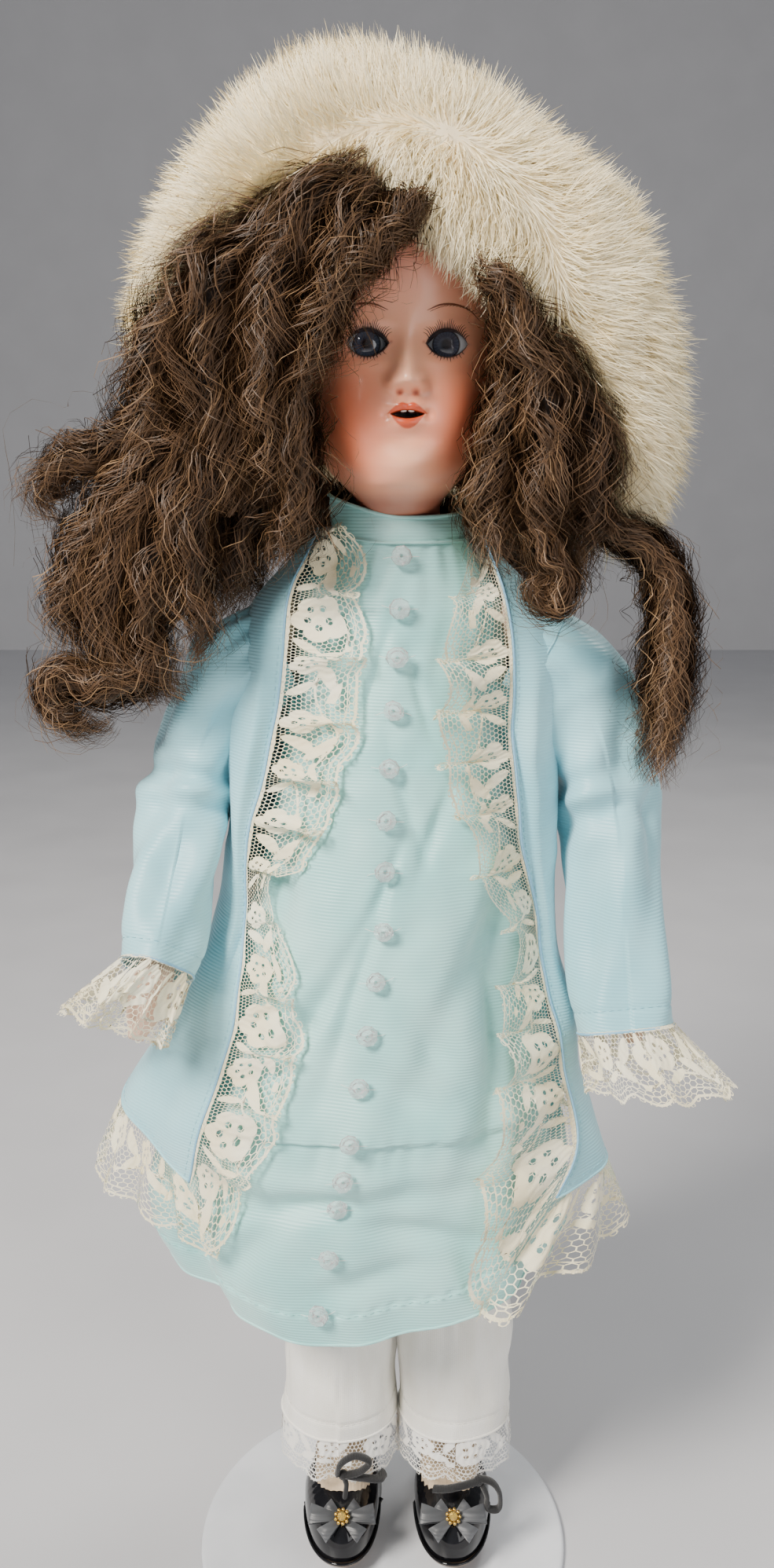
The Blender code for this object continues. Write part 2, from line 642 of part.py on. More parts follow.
# z, half width, front, back, x of the middle, and how far round from the front's middle the
# edge lies (degrees)
COAT = (
    (0.160, 0.0700, 0.0545, 0.0600, -0.0100, 50),
    (0.185, 0.0630, 0.0500, 0.0570, -0.0070, 47),
    (0.215, 0.0520, 0.0440, 0.0530, -0.0020, 43),
    (0.240, 0.0450, 0.0390, 0.0520, 0.0, 42),
    (0.262, 0.0420, 0.0350, 0.0390, 0.0, 42),
    (0.285, 0.0370, 0.0312, 0.0312, 0.0, 42),
    (0.302, 0.0322, 0.0282, 0.0272, 0.0, 43),
    (0.318, 0.0330, 0.0258, 0.0248, 0.0, 45),
    (0.329, 0.0300, 0.0228, 0.0218, 0.0, 52),
)


def open_ring(z, half_width, front, back, middle, edge, count=21):
    """An arc round the back, from one front edge to the other."""
    points = []
    for step in range(count):
        angle = radians(-90 + edge + step * (360 - 2 * edge) / (count - 1))
        reach = back if sin(angle) > 0 else front
        points.append(Vector((middle + half_width * cos(angle), BODY_Y + reach * sin(angle), z)))
    return points


def ruffle(name, lower, upper, waves, depth):
    """A gathered strip between two lines of points, pushed in and out along its outward side."""
    rows = []
    for share in (0.0, 0.5, 1.0):
        row = []
        for k, (a, b) in enumerate(zip(lower, upper)):
            point = a.lerp(b, share)
            out = Vector((point.x, point.y - BODY_Y, 0)).normalized()
            row.append(point + out * (depth * share * (0.5 + 0.5 * cos(math.pi * k * waves))))
        rows.append(row)
    return thicken(loft(name, rows, closed_ends=False, wrap=False), 0.0007, 1.0)


def make_coat():
    rings = [open_ring(*row) for row in COAT]
    coat = applied(thicken(loft("coat", rings, closed_ends=False, wrap=False), 0.0009))
    finish(combine(coat, armhole_cutter("coat_armholes", 0.0112), "DIFFERENCE"), "coat_taffeta")

    fine = [COAT[0]]
    for low, high in zip(COAT, COAT[1:]):
        for share in (0.5, 1.0):
            fine.append([a + (b - a) * share for a, b in zip(low, high)])
    for side, sign in SIDES.items():
        edge, free = [], []
        for z, w, f, b, middle, angle in fine:
            at, inner = radians(angle - 3), radians(max(10, angle - 27))
            edge.append(Vector((middle + sign * w * sin(at), BODY_Y - (f + 0.0026) * cos(at), z)))
            free.append(Vector((middle + sign * w * sin(inner),
                                BODY_Y - (f + 0.0036) * cos(inner), z)))
        finish(ruffle(side + "_coat_lace", edge, free, 1, 0.0022), "lace")
    z, w, f, b, middle, angle = COAT[0]
    top = open_ring(z - 0.0012, w + 0.0004, f + 0.0004, b + 0.0004, middle, angle, count=31)
    low = open_ring(z - 0.026, w + 0.0060, f + 0.0060, b + 0.0060, middle, angle, count=31)
    finish(ruffle("coat_hem_lace", top, low, 1, 0.003), "lace")


def make_sleeve(side):
    shoulder, elbow, wrist, tip = arm_points(side)
    sign = SIDES[side]
    upper = (elbow - shoulder).normalized()
    lower = (tip - elbow).normalized()
    hem = elbow + SLEEVE_LENGTH[side] * lower
    out = Vector((sign, 0, 0))
    drop = Vector((0, 0, -1))
    # centre, direction, radius, how far it is stretched front to back
    path = [(shoulder + 0.0042 * out + 0.0028 * drop, out + 0.44 * drop, 0.0146, 1.0),
            (shoulder + 0.016 * upper, out + 2 * upper, 0.0114, 1.05),
            (shoulder + 0.032 * upper, upper, 0.0105, 1.15),
            (elbow - 0.004 * upper + 0.0008 * out, upper + 0.3 * lower, 0.0112, 1.2),
            (elbow + 0.020 * lower, lower, 0.0125, 1.2),
            (hem, lower, 0.0150, 1.2)]
    rings = [round_ring(at, way, r, 14, squash) for at, way, r, squash in path]
    swing = bpy.data.objects[side + "_shoulder"]
    fold = bpy.data.objects[side + "_elbow"]
    finish(thicken(loft(side + "_sleeve", rings, closed_ends=False), 0.0009), "taffeta", swing)
    rings = [round_ring(hem + lower * (0.0008 + along), lower, r, 14, 1.2)
             for along, r in ((0.0, 0.0152), (0.010, 0.0180), (0.021, 0.0210))]
    finish(thicken(loft(side + "_cuff_lace", rings, closed_ends=False), 0.0007), "lace", fold)


def make_pantaloons():
    """The drawers' seat and both legs, one soft shell."""
    seat_rings = [egg_ring(z, w, d, d, count=20, centre=(0, HIP.y)) for z, w, d in
                  ((0.1700, 0.0400, 0.0235), (0.1850, 0.0405, 0.0235), (0.2000, 0.0370, 0.0240),
                   (0.2160, 0.0325, 0.0220), (0.2260, 0.0300, 0.0205))]
    garment = loft("pantaloons", seat_rings)
    hollow = [egg_ring(z, w - 0.0012, d - 0.0012, d - 0.0012, count=20, centre=(0, HIP.y))
              for z, w, d in ((0.1650, 0.0400, 0.0235), (0.1850, 0.0405, 0.0235),
                              (0.2000, 0.0370, 0.0240), (0.2160, 0.0325, 0.0220),
                              (0.2300, 0.0295, 0.0200))]
    for side, sign in SIDES.items():
        x = sign * (HIP.x + 0.0012)
        rings = [egg_ring(z, w, d, d, count=20, centre=(x, HIP.y)) for z, w, d in
                 ((0.0420, 0.0186, 0.0186), (0.0800, 0.0182, 0.0182), (0.1200, 0.0184, 0.0184),
                  (0.1740, 0.0188, 0.0205))]
        garment = combine(garment, loft(side + "_leg_cloth", rings), "UNION")
    for side, sign in SIDES.items():
        x = sign * (HIP.x + 0.0012)
        rings = [egg_ring(z, w, d, d, count=20, centre=(x, HIP.y)) for z, w, d in
                 ((0.0400, 0.0174, 0.0174), (0.0800, 0.0170, 0.0170), (0.1200, 0.0172, 0.0172),
                  (0.1745, 0.0176, 0.0193))]
        garment = combine(garment, loft(side + "_leg_room", rings), "DIFFERENCE")
    garment = combine(garment, loft("seat_room", hollow), "DIFFERENCE")
    finish(garment, "cotton")
    for side, sign in SIDES.items():
        x = sign * (HIP.x + 0.0012)
        rings = [egg_ring(z, r, r, r, count=16, centre=(x, HIP.y)) for z, r in
                 ((0.0412, 0.0180), (0.0340, 0.0183), (0.0270, 0.0186))]
        fold = bpy.data.objects[side + "_knee"]
        finish(thicken(loft(side + "_pantaloon_lace", rings, closed_ends=False), 0.0007),
               "lace", fold)


# ---------------------------------------------------------------- stockings and shoes
def make_shoe(side, fold, ankle):
    sign = SIDES[side]
    x = sign * HIP.x
    knee = Vector((x, HIP.y, KNEE_Z))
    rings = [round_ring(knee.lerp(ankle, share), ankle - knee, r, 14)
             for share, r in ((0.50, 0.0124), (0.66, 0.0118), (0.84, 0.0100), (0.99, 0.0092))]
    finish(thicken(loft(side + "_stocking", rings, closed_ends=False), 0.0008), "stocking", fold)

    heel, toe = ankle.y + 0.0225, ankle.y - 0.0350
    middle, reach = (heel + toe) / 2, (heel - toe) / 2

    def level(z, grow):
        points = []
        for k in range(20):
            angle = 2 * math.pi * k / 20
            half = (0.0120 if sin(angle) > 0 else 0.0130) * grow
            spring = TOE_SPRING * max(0.0, -sin(angle)) ** 3
            points.append(Vector((x + half * cos(angle), middle + reach * grow * sin(angle),
                                  z + spring)))
        return points

    sole = loft(side + "_shoe_sole", [level(SOLE_Z, 0.99), level(SOLE_Z + 0.0018, 1.0)])
    finish(sole, "ribbon", fold)
    base = SOLE_Z + 0.0018 + 0.0003
    mouth = egg_ring(base + 0.0153, 0.0100, 0.0122, 0.0120, centre=(x, ankle.y + 0.003))
    upper = loft(side + "_shoe_upper", [level(base, 0.985), level(base + 0.005, 1.0),
                                        level(base + 0.011, 0.93), mouth], closed_ends=False)
    finish(thicken(upper, 0.0010), "patent", fold)

    vamp_y, vamp_z = ankle.y - 0.0170, base + 0.0188
    bow = []
    for k in range(16):
        angle = 2 * math.pi * k / 16
        swell = 0.35 + 0.65 * abs(cos(angle))
        bow.append(Vector((x + 0.0085 * swell * cos(angle), vamp_y - 0.0016 * sin(angle),
                           vamp_z + 0.0036 * sin(angle) * swell)))
    back = [p + Vector((0, 0.0014, 0.0006)) for p in bow]
    finish(loft(side + "_shoe_bow", [bow, back]), "ribbon", fold)
    gem = cylinder(side + "_shoe_jewel", 0.0026, (x, vamp_y - 0.0020, vamp_z),
                   (x, vamp_y - 0.0038, vamp_z + 0.0005), count=12, end_radius=0.0020)
    finish(gem, "gilt", fold)
    tie = [(x + sign * 0.006 + 0.0036 * cos(a), ankle.y - 0.0130, vamp_z + 0.0060 + 0.0036 * sin(a))
           for a in (2 * math.pi * k / 12 for k in range(12))]
    finish(wire(side + "_shoe_tie", tie, 0.0008, cyclic=True, round_steps=1), "patent", fold)


# ---------------------------------------------------------------- the whole doll
def main():
    make_stand()
    make_torso()
    nod = make_head()
    make_eyes(nod)
    make_wig(nod)
    make_hat(nod)
    make_dress()
    make_coat()
    for side in SIDES:
        make_arm(side)
        make_sleeve(side)
        fold, ankle = make_leg(side)
        make_shoe(side, fold, ankle)
    make_pantaloons()
    for piece in DOLL.objects:
        if piece.parent is None and piece.name not in STAND_PIECES:
            piece.location.x += BODY_X


main()
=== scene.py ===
"""The looks of the doll: porcelain, hair, fur, taffeta, lace and patent leather round the CAD frame."""
import json
import math

import bpy
import numpy as np
from mathutils import Matrix, Vector


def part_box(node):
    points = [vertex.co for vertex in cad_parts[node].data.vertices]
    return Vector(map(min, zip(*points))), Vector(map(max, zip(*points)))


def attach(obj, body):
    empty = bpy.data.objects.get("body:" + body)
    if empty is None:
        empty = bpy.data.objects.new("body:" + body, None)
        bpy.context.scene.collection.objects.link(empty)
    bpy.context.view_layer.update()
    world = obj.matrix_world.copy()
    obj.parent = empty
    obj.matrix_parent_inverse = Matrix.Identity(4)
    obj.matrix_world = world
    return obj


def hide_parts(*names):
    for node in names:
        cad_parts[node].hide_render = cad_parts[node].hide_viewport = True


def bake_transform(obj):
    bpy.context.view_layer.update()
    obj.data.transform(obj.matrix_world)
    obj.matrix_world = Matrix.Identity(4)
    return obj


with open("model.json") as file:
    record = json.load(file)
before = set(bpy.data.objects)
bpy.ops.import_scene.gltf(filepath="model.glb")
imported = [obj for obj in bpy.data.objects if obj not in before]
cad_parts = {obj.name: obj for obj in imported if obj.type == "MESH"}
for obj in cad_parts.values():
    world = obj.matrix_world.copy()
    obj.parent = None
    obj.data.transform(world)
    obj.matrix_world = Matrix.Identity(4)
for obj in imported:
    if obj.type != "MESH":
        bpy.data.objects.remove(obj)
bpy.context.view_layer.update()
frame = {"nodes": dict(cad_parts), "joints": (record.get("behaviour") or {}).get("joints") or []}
TAU = 2 * math.pi
MM = 0.001

# ---------------------------------------------------------------- places taken from the frame
JOINT = {j["name"]: j for j in frame["joints"]}
NECK = Vector(JOINT["neck_nod"]["pos_m"])
EYE_AXLE = Vector(JOINT["eyes_sleep"]["pos_m"])
DOLL_X, BODY_Y = NECK.x, NECK.y
HEAD_LOW, HEAD_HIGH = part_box("head")
HEAD_Y = (HEAD_LOW.y + HEAD_HIGH.y) / 2
SIDES = {"right": -1, "left": 1}


# ---------------------------------------------------------------- mesh helpers
def build(name, points, face_sets, stuff, smooth=True, tint=None, tone=None):
    """A mesh object from points and one or more arrays of faces, in metres."""
    if isinstance(face_sets, np.ndarray):
        face_sets = [face_sets]
    face_sets = [np.asarray(f, np.int32) for f in face_sets if len(f)]
    loops = np.concatenate([f.ravel() for f in face_sets])
    sizes = np.concatenate([np.full(len(f), f.shape[1], np.int32) for f in face_sets])
    starts = np.concatenate([[0], np.cumsum(sizes)[:-1]]).astype(np.int32)
    mesh = bpy.data.meshes.new(name)
    mesh.vertices.add(len(points))
    mesh.vertices.foreach_set("co", np.asarray(points, np.float32).ravel())
    mesh.loops.add(len(loops))
    mesh.loops.foreach_set("vertex_index", loops)
    mesh.polygons.add(len(sizes))
    mesh.polygons.foreach_set("loop_start", starts)
    mesh.update(calc_edges=True)
    mesh.polygons.foreach_set("use_smooth", np.full(len(sizes), smooth))
    if tint is not None:
        layer = mesh.color_attributes.new("tint", "FLOAT_COLOR", "POINT")
        layer.data.foreach_set("color", np.c_[tint, np.ones(len(tint))].astype(np.float32).ravel())
    if tone is not None:
        layer = mesh.attributes.new("tone", "FLOAT", "POINT")
        layer.data.foreach_set("value", np.asarray(tone, np.float32))
    mesh.materials.append(stuff)
    mesh.validate()
    obj = bpy.data.objects.new(name, mesh)
    bpy.context.scene.collection.objects.link(obj)
    return obj


def grid_faces(rows, cols, wrap=False):
    """Quads over a rows by cols grid of points."""
    r, c = np.meshgrid(np.arange(rows - 1), np.arange(cols if wrap else cols - 1), indexing="ij")
    r, c = r.ravel(), c.ravel()
    d = (c + 1) % cols
    return np.stack([r * cols + c, r * cols + d, (r + 1) * cols + d, (r + 1) * cols + c], 1)


def sheet(name, grid, stuff, wrap=False, wall=0.0, tint=None, flip=False):
    """A surface through a grid of points; wall gives it a thickness."""
    rows, cols = grid.shape[:2]
    faces = grid_faces(rows, cols, wrap)
    if flip:
        faces = faces[:, ::-1]
    obj = build(name, grid.reshape(-1, 3), faces, stuff, tint=tint)
    if wall:
        solid = obj.modifiers.new("cloth", "SOLIDIFY")
        solid.thickness = wall
        solid.offset = 0.0
    return obj


def smooth(knots, values, at):
    """A smooth curve through the knots, read at those places."""
    knots, values, at = (np.asarray(v, float) for v in (knots, values, at))
    slope = np.gradient(values, knots, axis=0)
    k = np.clip(np.searchsorted(knots, at) - 1, 0, len(knots) - 2)
    h = knots[k + 1] - knots[k]
    t = np.clip((at - knots[k]) / h, 0, 1)
    if values.ndim > 1:
        h, t = h[..., None], t[..., None]
    return ((2 * t**3 - 3 * t**2 + 1) * values[k] + (t**3 - 2 * t**2 + t) * h * slope[k]
            + (3 * t**2 - 2 * t**3) * values[k + 1] + (t**3 - t**2) * h * slope[k + 1])


def step(low, high, x):
    t = np.clip((x - low) / (high - low), 0, 1)
    return t * t * (3 - 2 * t)


def bell(x, width):
    return np.exp(-(x / width) ** 2)


def circle(count):
    """Angles evenly round a circle."""
    return np.linspace(0, TAU, count, endpoint=False)


def unit(way, tiny=0.0):
    return way / (np.linalg.norm(way, axis=-1, keepdims=True) + tiny)


def xyz(*parts):
    """Points out of their coordinates, stretched to one shape."""
    return np.stack(np.broadcast_arrays(*parts), -1)


def bump(x, z, cx, cz, sx, sz):
    return np.exp(-((x - cx) / sx) ** 2 - ((z - cz) / sz) ** 2)


def wobble(x, y, scale, seed):
    """Soft, repeatable unevenness between -1 and 1 from a few crossed waves."""
    rng = np.random.default_rng(seed)
    total = np.zeros_like(np.asarray(x, float))
    for _ in range(6):
        a, p = rng.uniform(0, TAU, 2)
        k = TAU / scale * rng.uniform(0.5, 1.4)
        total = total + np.sin(k * (np.cos(a) * x + np.sin(a) * y) + p)
    return total / 4


def along(path, count):
    """A smooth path through the points, read at count even steps of its length."""
    path = np.asarray(path, float)
    knots = np.concatenate([[0], np.cumsum(np.linalg.norm(np.diff(path, axis=0), axis=1))])
    return smooth(knots, path, np.linspace(0, knots[-1], count))


def frames_of(path):
    """Tangent and two steady cross directions at each point of a path."""
    tangent = np.gradient(path, axis=0)
    tangent = unit(tangent, 1e-12)
    first = np.array([0.0, 1.0, 0.0])
    side = first - (tangent @ first)[..., None] * tangent
    side = unit(side, 1e-12)
    return tangent, side, np.cross(tangent, side)


def tube(name, path, radii, stuff, sides=10, closed=False, flat=1.0):
    """A round tube along a path, with pointed ends unless the path is closed."""
    path = np.asarray(path, float)
    radii = np.broadcast_to(np.asarray(radii, float), len(path))
    if closed:
        tangent = np.roll(path, -1, 0) - np.roll(path, 1, 0)
        tangent = unit(tangent)
        first = np.array([0.13, 0.97, 0.21])
        side = first - (tangent @ first)[:, None] * tangent
        side = unit(side)
        other = np.cross(tangent, side)
    else:
        _, side, other = frames_of(path)
    a = TAU * np.arange(sides) / sides
    rings = path[:, None] + radii[:, None, None] * (np.cos(a)[None, :, None] * side[:, None]
                                                    + flat * np.sin(a)[None, :, None] * other[:, None])
    rows = len(path)
    faces = grid_faces(rows, sides, wrap=True)
    if closed:
        c = np.arange(sides)
        d = (c + 1) % sides
        last = (rows - 1) * sides
        faces = np.concatenate([faces, np.stack([last + c, last + d, d, c], 1)])
        return build(name, rings.reshape(-1, 3), faces, stuff)
    points = np.concatenate([rings.reshape(-1, 3), path[:1], path[-1:]])
    c = np.arange(sides)
    d = (c + 1) % sides
    first, last = rows * sides, rows * sides + 1
    tris = np.concatenate([np.stack([np.full(sides, first), d, c], 1),
                           np.stack([np.full(sides, last), (rows - 1) * sides + c,
                                     (rows - 1) * sides + d], 1)])
    return build(name, points, [faces, tris], stuff)


def joined(name, objects):
    """One object out of several that share a material."""
    points, sets, base = [], {}, 0
    for obj in objects:
        mesh = obj.data
        co = np.empty(len(mesh.vertices) * 3, np.float32)
        mesh.vertices.foreach_get("co", co)
        points.append(co.reshape(-1, 3))
        for face in mesh.polygons:
            sets.setdefault(len(face.vertices), []).append([base + v for v in face.vertices])
        base += len(mesh.vertices)
    stuff = objects[0].data.materials[0]
    for obj in objects:
        bpy.data.objects.remove(obj)
    return build(name, np.concatenate(points), [np.array(s) for s in sets.values()], stuff)


def wear(obj, body, *nodes, slot=None):
    """Rides the object on a body and stands it in for those CAD nodes; slot is not used."""
    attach(obj, body)
    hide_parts(*nodes)
    return obj


def hinge(obj, node, slot, *joint):
    """Stands the object in for the CAD node, with its placement baked into its points; slot and joint are
    not used.
    """
    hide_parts(node)
    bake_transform(obj)


# ---------------------------------------------------------------- materials
class Stuff:
    """A node material, written from the shader backwards."""

    def __init__(self, name, **inputs):
        self.material = bpy.data.materials.new(name)
        self.material.use_nodes = True
        self.tree = self.material.node_tree
        self.shader = self.tree.nodes["Principled BSDF"]
        self.set(self.shader, inputs)

    def set(self, node, inputs):
        for key, value in inputs.items():
            socket = node.inputs[key.replace("_", " ") if isinstance(key, str) else key]
            if isinstance(value, bpy.types.NodeSocket):
                self.tree.links.new(value, socket)
            elif isinstance(value, (tuple, list)) and socket.type == "RGBA" and len(value) == 3:
                socket.default_value = (*value, 1.0)
            else:
                socket.default_value = value

    def add(self, kind, out=0, settings=None, **inputs):
        node = self.tree.nodes.new("ShaderNode" + kind)
        for key, value in (settings or {}).items():
            setattr(node, key, value)
        self.set(node, inputs)
        return node.outputs[out]

    def place(self, stretch=(1, 1, 1)):
        """Position in the object's own space, in millimetres, stretched."""
        where = self.add("TexCoord", out=3)
        node = self.tree.nodes.new("ShaderNodeMapping")
        self.tree.links.new(where, node.inputs["Vector"])
        node.inputs["Scale"].default_value = [1000 * s for s in stretch]
        return node.outputs[0]

    def noise(self, scale, detail=3.0, stretch=(1, 1, 1), rough=0.5):
        return self.add("TexNoise", Vector=self.place(stretch), Scale=scale, Detail=detail,
                        Roughness=rough)

    def mix(self, factor, one, two, blend="MIX"):
        node = self.tree.nodes.new("ShaderNodeMix")
        node.data_type = "RGBA"
        node.blend_type = blend
        for k, value in ((0, factor), (6, one), (7, two)):
            socket = node.inputs[k]
            if isinstance(value, bpy.types.NodeSocket):
                self.tree.links.new(value, socket)
            else:
                socket.default_value = (*value, 1.0) if isinstance(value, tuple) else value
        return node.outputs[2]

    def between(self, value, low, high, to_low=0.0, to_high=1.0):
        node = self.tree.nodes.new("ShaderNodeMapRange")
        self.tree.links.new(value, node.inputs[0])
        for k, number in zip((1, 2, 3, 4), (low, high, to_low, to_high)):
            node.inputs[k].default_value = number
        return node.outputs[0]

    def bump(self, height, strength, distance, under=None):
        inputs = {"Height": height, "Strength": strength, "Distance": distance}
        if under is not None:
            inputs["Normal"] = under
        return self.add("Bump", **inputs)

    def finish(self, **inputs):
        self.set(self.shader, inputs)
        return self.material


def taffeta(name, light, deep, sheen):
    """Ribbed silk: fine cross ribs, a slow change between the cloth's lit colour and its colour in shade
    (painted light and shade), painted shade in the hollows of the ribs, and a soft sheen, both from the
    shader and painted into the colour at grazing angles.
    """
    s = Stuff(name, Roughness=0.42, Sheen_Weight=0.22, Sheen_Roughness=0.35, Sheen_Tint=sheen)
    cloud = s.noise(0.035, 2.0)
    # light is the cloth's lit colour and deep its colour in shade: the slow cloud paints soft patches of
    # light and shade
    colour = s.mix(s.between(cloud, 0.35, 0.65), deep, light)
    # painted sheen: the colour pales towards the sheen colour where the cloth turns away from view
    facing = s.add("LayerWeight", out=1, Blend=0.35)
    colour = s.mix(s.between(facing, 0.0, 0.9, 0.0, 0.35), colour, sheen)
    ribs = s.add("TexWave", settings={"wave_type": "BANDS", "bands_direction": "Z"},
                 Vector=s.place((0.10, 0.10, 1)), Scale=0.33, Distortion=0.45, Detail=2.0)
    threads = s.noise(1.2, 2.0, (1, 1, 0.25))
    # painted shade: the colour darkens towards deep in the hollows between the ribs
    colour = s.mix(s.between(ribs, 0.0, 1.0, 0.24, 0.0), colour, deep)
    relief = s.bump(ribs, 0.45, 0.00016, s.bump(threads, 0.10, 0.0001))
    return s.finish(Base_Color=colour, Normal=relief,
                    Roughness=s.between(cloud, 0.3, 0.7, 0.38, 0.48))


def woven(name, light, deep, scale=1.5, strength=0.3, rough=0.85):
    """Plain weave: crossed threads with small slubs."""
    s = Stuff(name, Sheen_Weight=0.25, Sheen_Roughness=0.5)
    warp = s.add("TexWave", settings={"bands_direction": "Z"}, Vector=s.place(), Scale=scale * 0.3,
                 Distortion=0.8, Detail=1.0)
    weft = s.add("TexWave", settings={"bands_direction": "X"}, Vector=s.place(), Scale=scale * 0.3,
                 Distortion=0.8, Detail=1.0)
    slub = s.noise(0.15, 3.0, (1, 1, 0.3))
    colour = s.mix(s.between(slub, 0.35, 0.65), deep, light)
    relief = s.bump(warp, strength, 0.0001, s.bump(weft, strength, 0.0001))
    return s.finish(Base_Color=colour, Roughness=rough, Normal=relief)


def lace_thread(name, light, deep):
    s = Stuff(name, Roughness=0.75, Sheen_Weight=0.3)
    fine = s.noise(2.5, 2.0)
    age = s.noise(0.05, 2.0)
    colour = s.mix(s.between(age, 0.35, 0.65), deep, light)
    return s.finish(Base_Color=colour, Normal=s.bump(fine, 0.5, 0.0001), Subsurface_Weight=0.12,
                    Subsurface_Radius=(0.002, 0.0018, 0.0014), Subsurface_Scale=0.3)


def hairy(name, dark, middle, pale, rough):
    """Hair whose tone differs from strand to strand."""
    s = Stuff(name, Roughness=rough)
    tone = s.add("Attribute", out=2, settings={"attribute_name": "tone"})
    first = s.mix(s.between(tone, 0.0, 0.55), dark, middle)
    colour = s.mix(s.between(tone, 0.55, 1.0), first, pale)
    streak = s.noise(0.4, 2.0, (1, 1, 0.2))
    colour = s.mix(s.between(streak, 0.3, 0.7, 0.0, 0.35), colour, dark)
    return s.finish(Base_Color=colour, Specular_IOR_Level=0.3)


def plain(name, light, deep, rough, scale=0.2, relief=0.15, **more):
    """A solid with a little unevenness in colour, gloss and surface."""
    s = Stuff(name, **more)
    cloud = s.noise(scale, 4.0)
    return s.finish(Base_Color=s.mix(s.between(cloud, 0.35, 0.65), deep, light),
                    Roughness=s.between(cloud, 0.3, 0.7, rough * 0.85, rough * 1.15),
                    Normal=s.bump(s.noise(scale * 6, 3.0), relief, 0.0001))


def painted(name, rough, coat, subsurface):
    """Colour painted on vertex by vertex, under a thin glaze with a fine orange peel."""
    s = Stuff(name, Roughness=rough, Coat_Weight=coat, Coat_Roughness=0.12)
    tint = s.add("VertexColor", settings={"layer_name": "tint"})
    mottle = s.noise(0.25, 3.0)
    colour = s.mix(s.between(mottle, 0.3, 0.7, 0.0, 0.06), tint, (0.80, 0.42, 0.30))
    return s.finish(Base_Color=colour, Normal=s.bump(s.noise(1.5, 2.0), 0.06, 0.0001),
                    Subsurface_Weight=subsurface, Subsurface_Radius=(0.004, 0.0018, 0.001),
                    Subsurface_Scale=0.4)


# each taffeta: its lit colour, its colour in shade and its sheen colour, the last two also painted into the
# cloth as shade and sheen
AQUA = taffeta("dress_taffeta_stuff", (0.46, 0.80, 0.76), (0.32, 0.68, 0.66), (0.84, 0.98, 0.96))
SKY = taffeta("coat_taffeta_stuff", (0.41, 0.76, 0.83), (0.28, 0.63, 0.72), (0.80, 0.95, 1.0))
PIPING = plain("piping_stuff", (0.28, 0.55, 0.74), (0.22, 0.48, 0.68), 0.55, 0.8, 0.3)
LACE = lace_thread("ecru_lace_stuff", (0.97, 0.91, 0.70), (0.90, 0.80, 0.53))
WHITE_LACE = lace_thread("white_lace_stuff", (0.97, 0.95, 0.90), (0.92, 0.89, 0.82))
COTTON = woven("cotton_stuff", (0.96, 0.94, 0.88), (0.90, 0.87, 0.79), 1.6, 0.35)
KNIT = woven("stocking_stuff", (0.66, 0.52, 0.36), (0.55, 0.42, 0.28), 0.9, 0.6)
HAIR = hairy("mohair_stuff", (0.026, 0.013, 0.006), (0.120, 0.062, 0.028), (0.36, 0.22, 0.11), 0.5)
FUR = hairy("fur_stuff", (1.0, 0.80, 0.46), (1.0, 0.89, 0.60), (1.0, 0.95, 0.76), 0.8)
SCALP = plain("wig_cap_stuff", (0.030, 0.016, 0.009), (0.016, 0.008, 0.005), 0.7, 0.6, 0.6)
SKIN_FUR = plain("fur_hide_stuff", (0.95, 0.83, 0.58), (0.86, 0.70, 0.44), 0.9, 0.12, 0.6)
BISQUE = painted("bisque_stuff", 0.36, 0.25, 0.35)
EYE_GLASS = painted("eye_glass_stuff", 0.05, 1.0, 0.0)
TEETH = plain("teeth_stuff", (0.90, 0.87, 0.80), (0.80, 0.76, 0.66), 0.2, 0.5, 0.05)
INK = plain("brush_line_stuff", (0.020, 0.012, 0.010), (0.012, 0.008, 0.007), 0.5, 0.8, 0.1)
BROW_INK = plain("brow_line_stuff", (0.24, 0.085, 0.045), (0.17, 0.055, 0.028), 0.5, 0.8, 0.1)
PATENT = plain("patent_stuff", (0.010, 0.010, 0.012), (0.004, 0.004, 0.005), 0.10, 0.15, 0.12,
               Coat_Weight=0.3, Coat_Roughness=0.04, Specular_IOR_Level=0.35)
CORD = woven("cord_stuff", (0.016, 0.016, 0.018), (0.006, 0.006, 0.007), 2.0, 0.6)
SOLE = plain("sole_stuff", (0.30, 0.20, 0.12), (0.20, 0.13, 0.08), 0.75, 0.4, 0.4)
SATIN = taffeta("ribbon_stuff", (0.105, 0.11, 0.12), (0.04, 0.042, 0.046), (0.42, 0.44, 0.48))
COMPOSITION = plain("composition_stuff", (0.83, 0.58, 0.45), (0.74, 0.48, 0.35), 0.45, 0.12, 0.2)
ENAMEL = plain("enamel_stuff", (0.74, 0.76, 0.80), (0.68, 0.70, 0.74), 0.38, 0.05, 0.05)
STEEL = plain("wire_stuff", (0.60, 0.60, 0.62), (0.45, 0.45, 0.47), 0.3, 0.6, 0.1, Metallic=1.0)
LEAD = plain("lead_stuff", (0.28, 0.29, 0.31), (0.18, 0.19, 0.21), 0.6, 0.5, 0.4, Metallic=1.0)
GILT = plain("gilt_stuff", (0.80, 0.56, 0.18), (0.62, 0.40, 0.10), 0.28, 0.8, 0.2, Metallic=1.0)
WOOD = woven("turned_wood_stuff", (0.50, 0.33, 0.19), (0.38, 0.23, 0.12), 0.5, 0.4, 0.6)
ELASTIC = woven("elastic_stuff", (0.76, 0.70, 0.60), (0.64, 0.58, 0.48), 2.0, 0.6)
CORK = plain("cork_stuff", (0.46, 0.30, 0.17), (0.26, 0.15, 0.08), 0.9, 0.5, 0.7)


def crystal_stuff(name, colour):
    s = Stuff(name, Roughness=0.02, IOR=1.50, Transmission_Weight=0.80, Base_Color=colour)
    return s.finish(Normal=s.bump(s.noise(0.6, 2.0), 0.05, 0.0001))


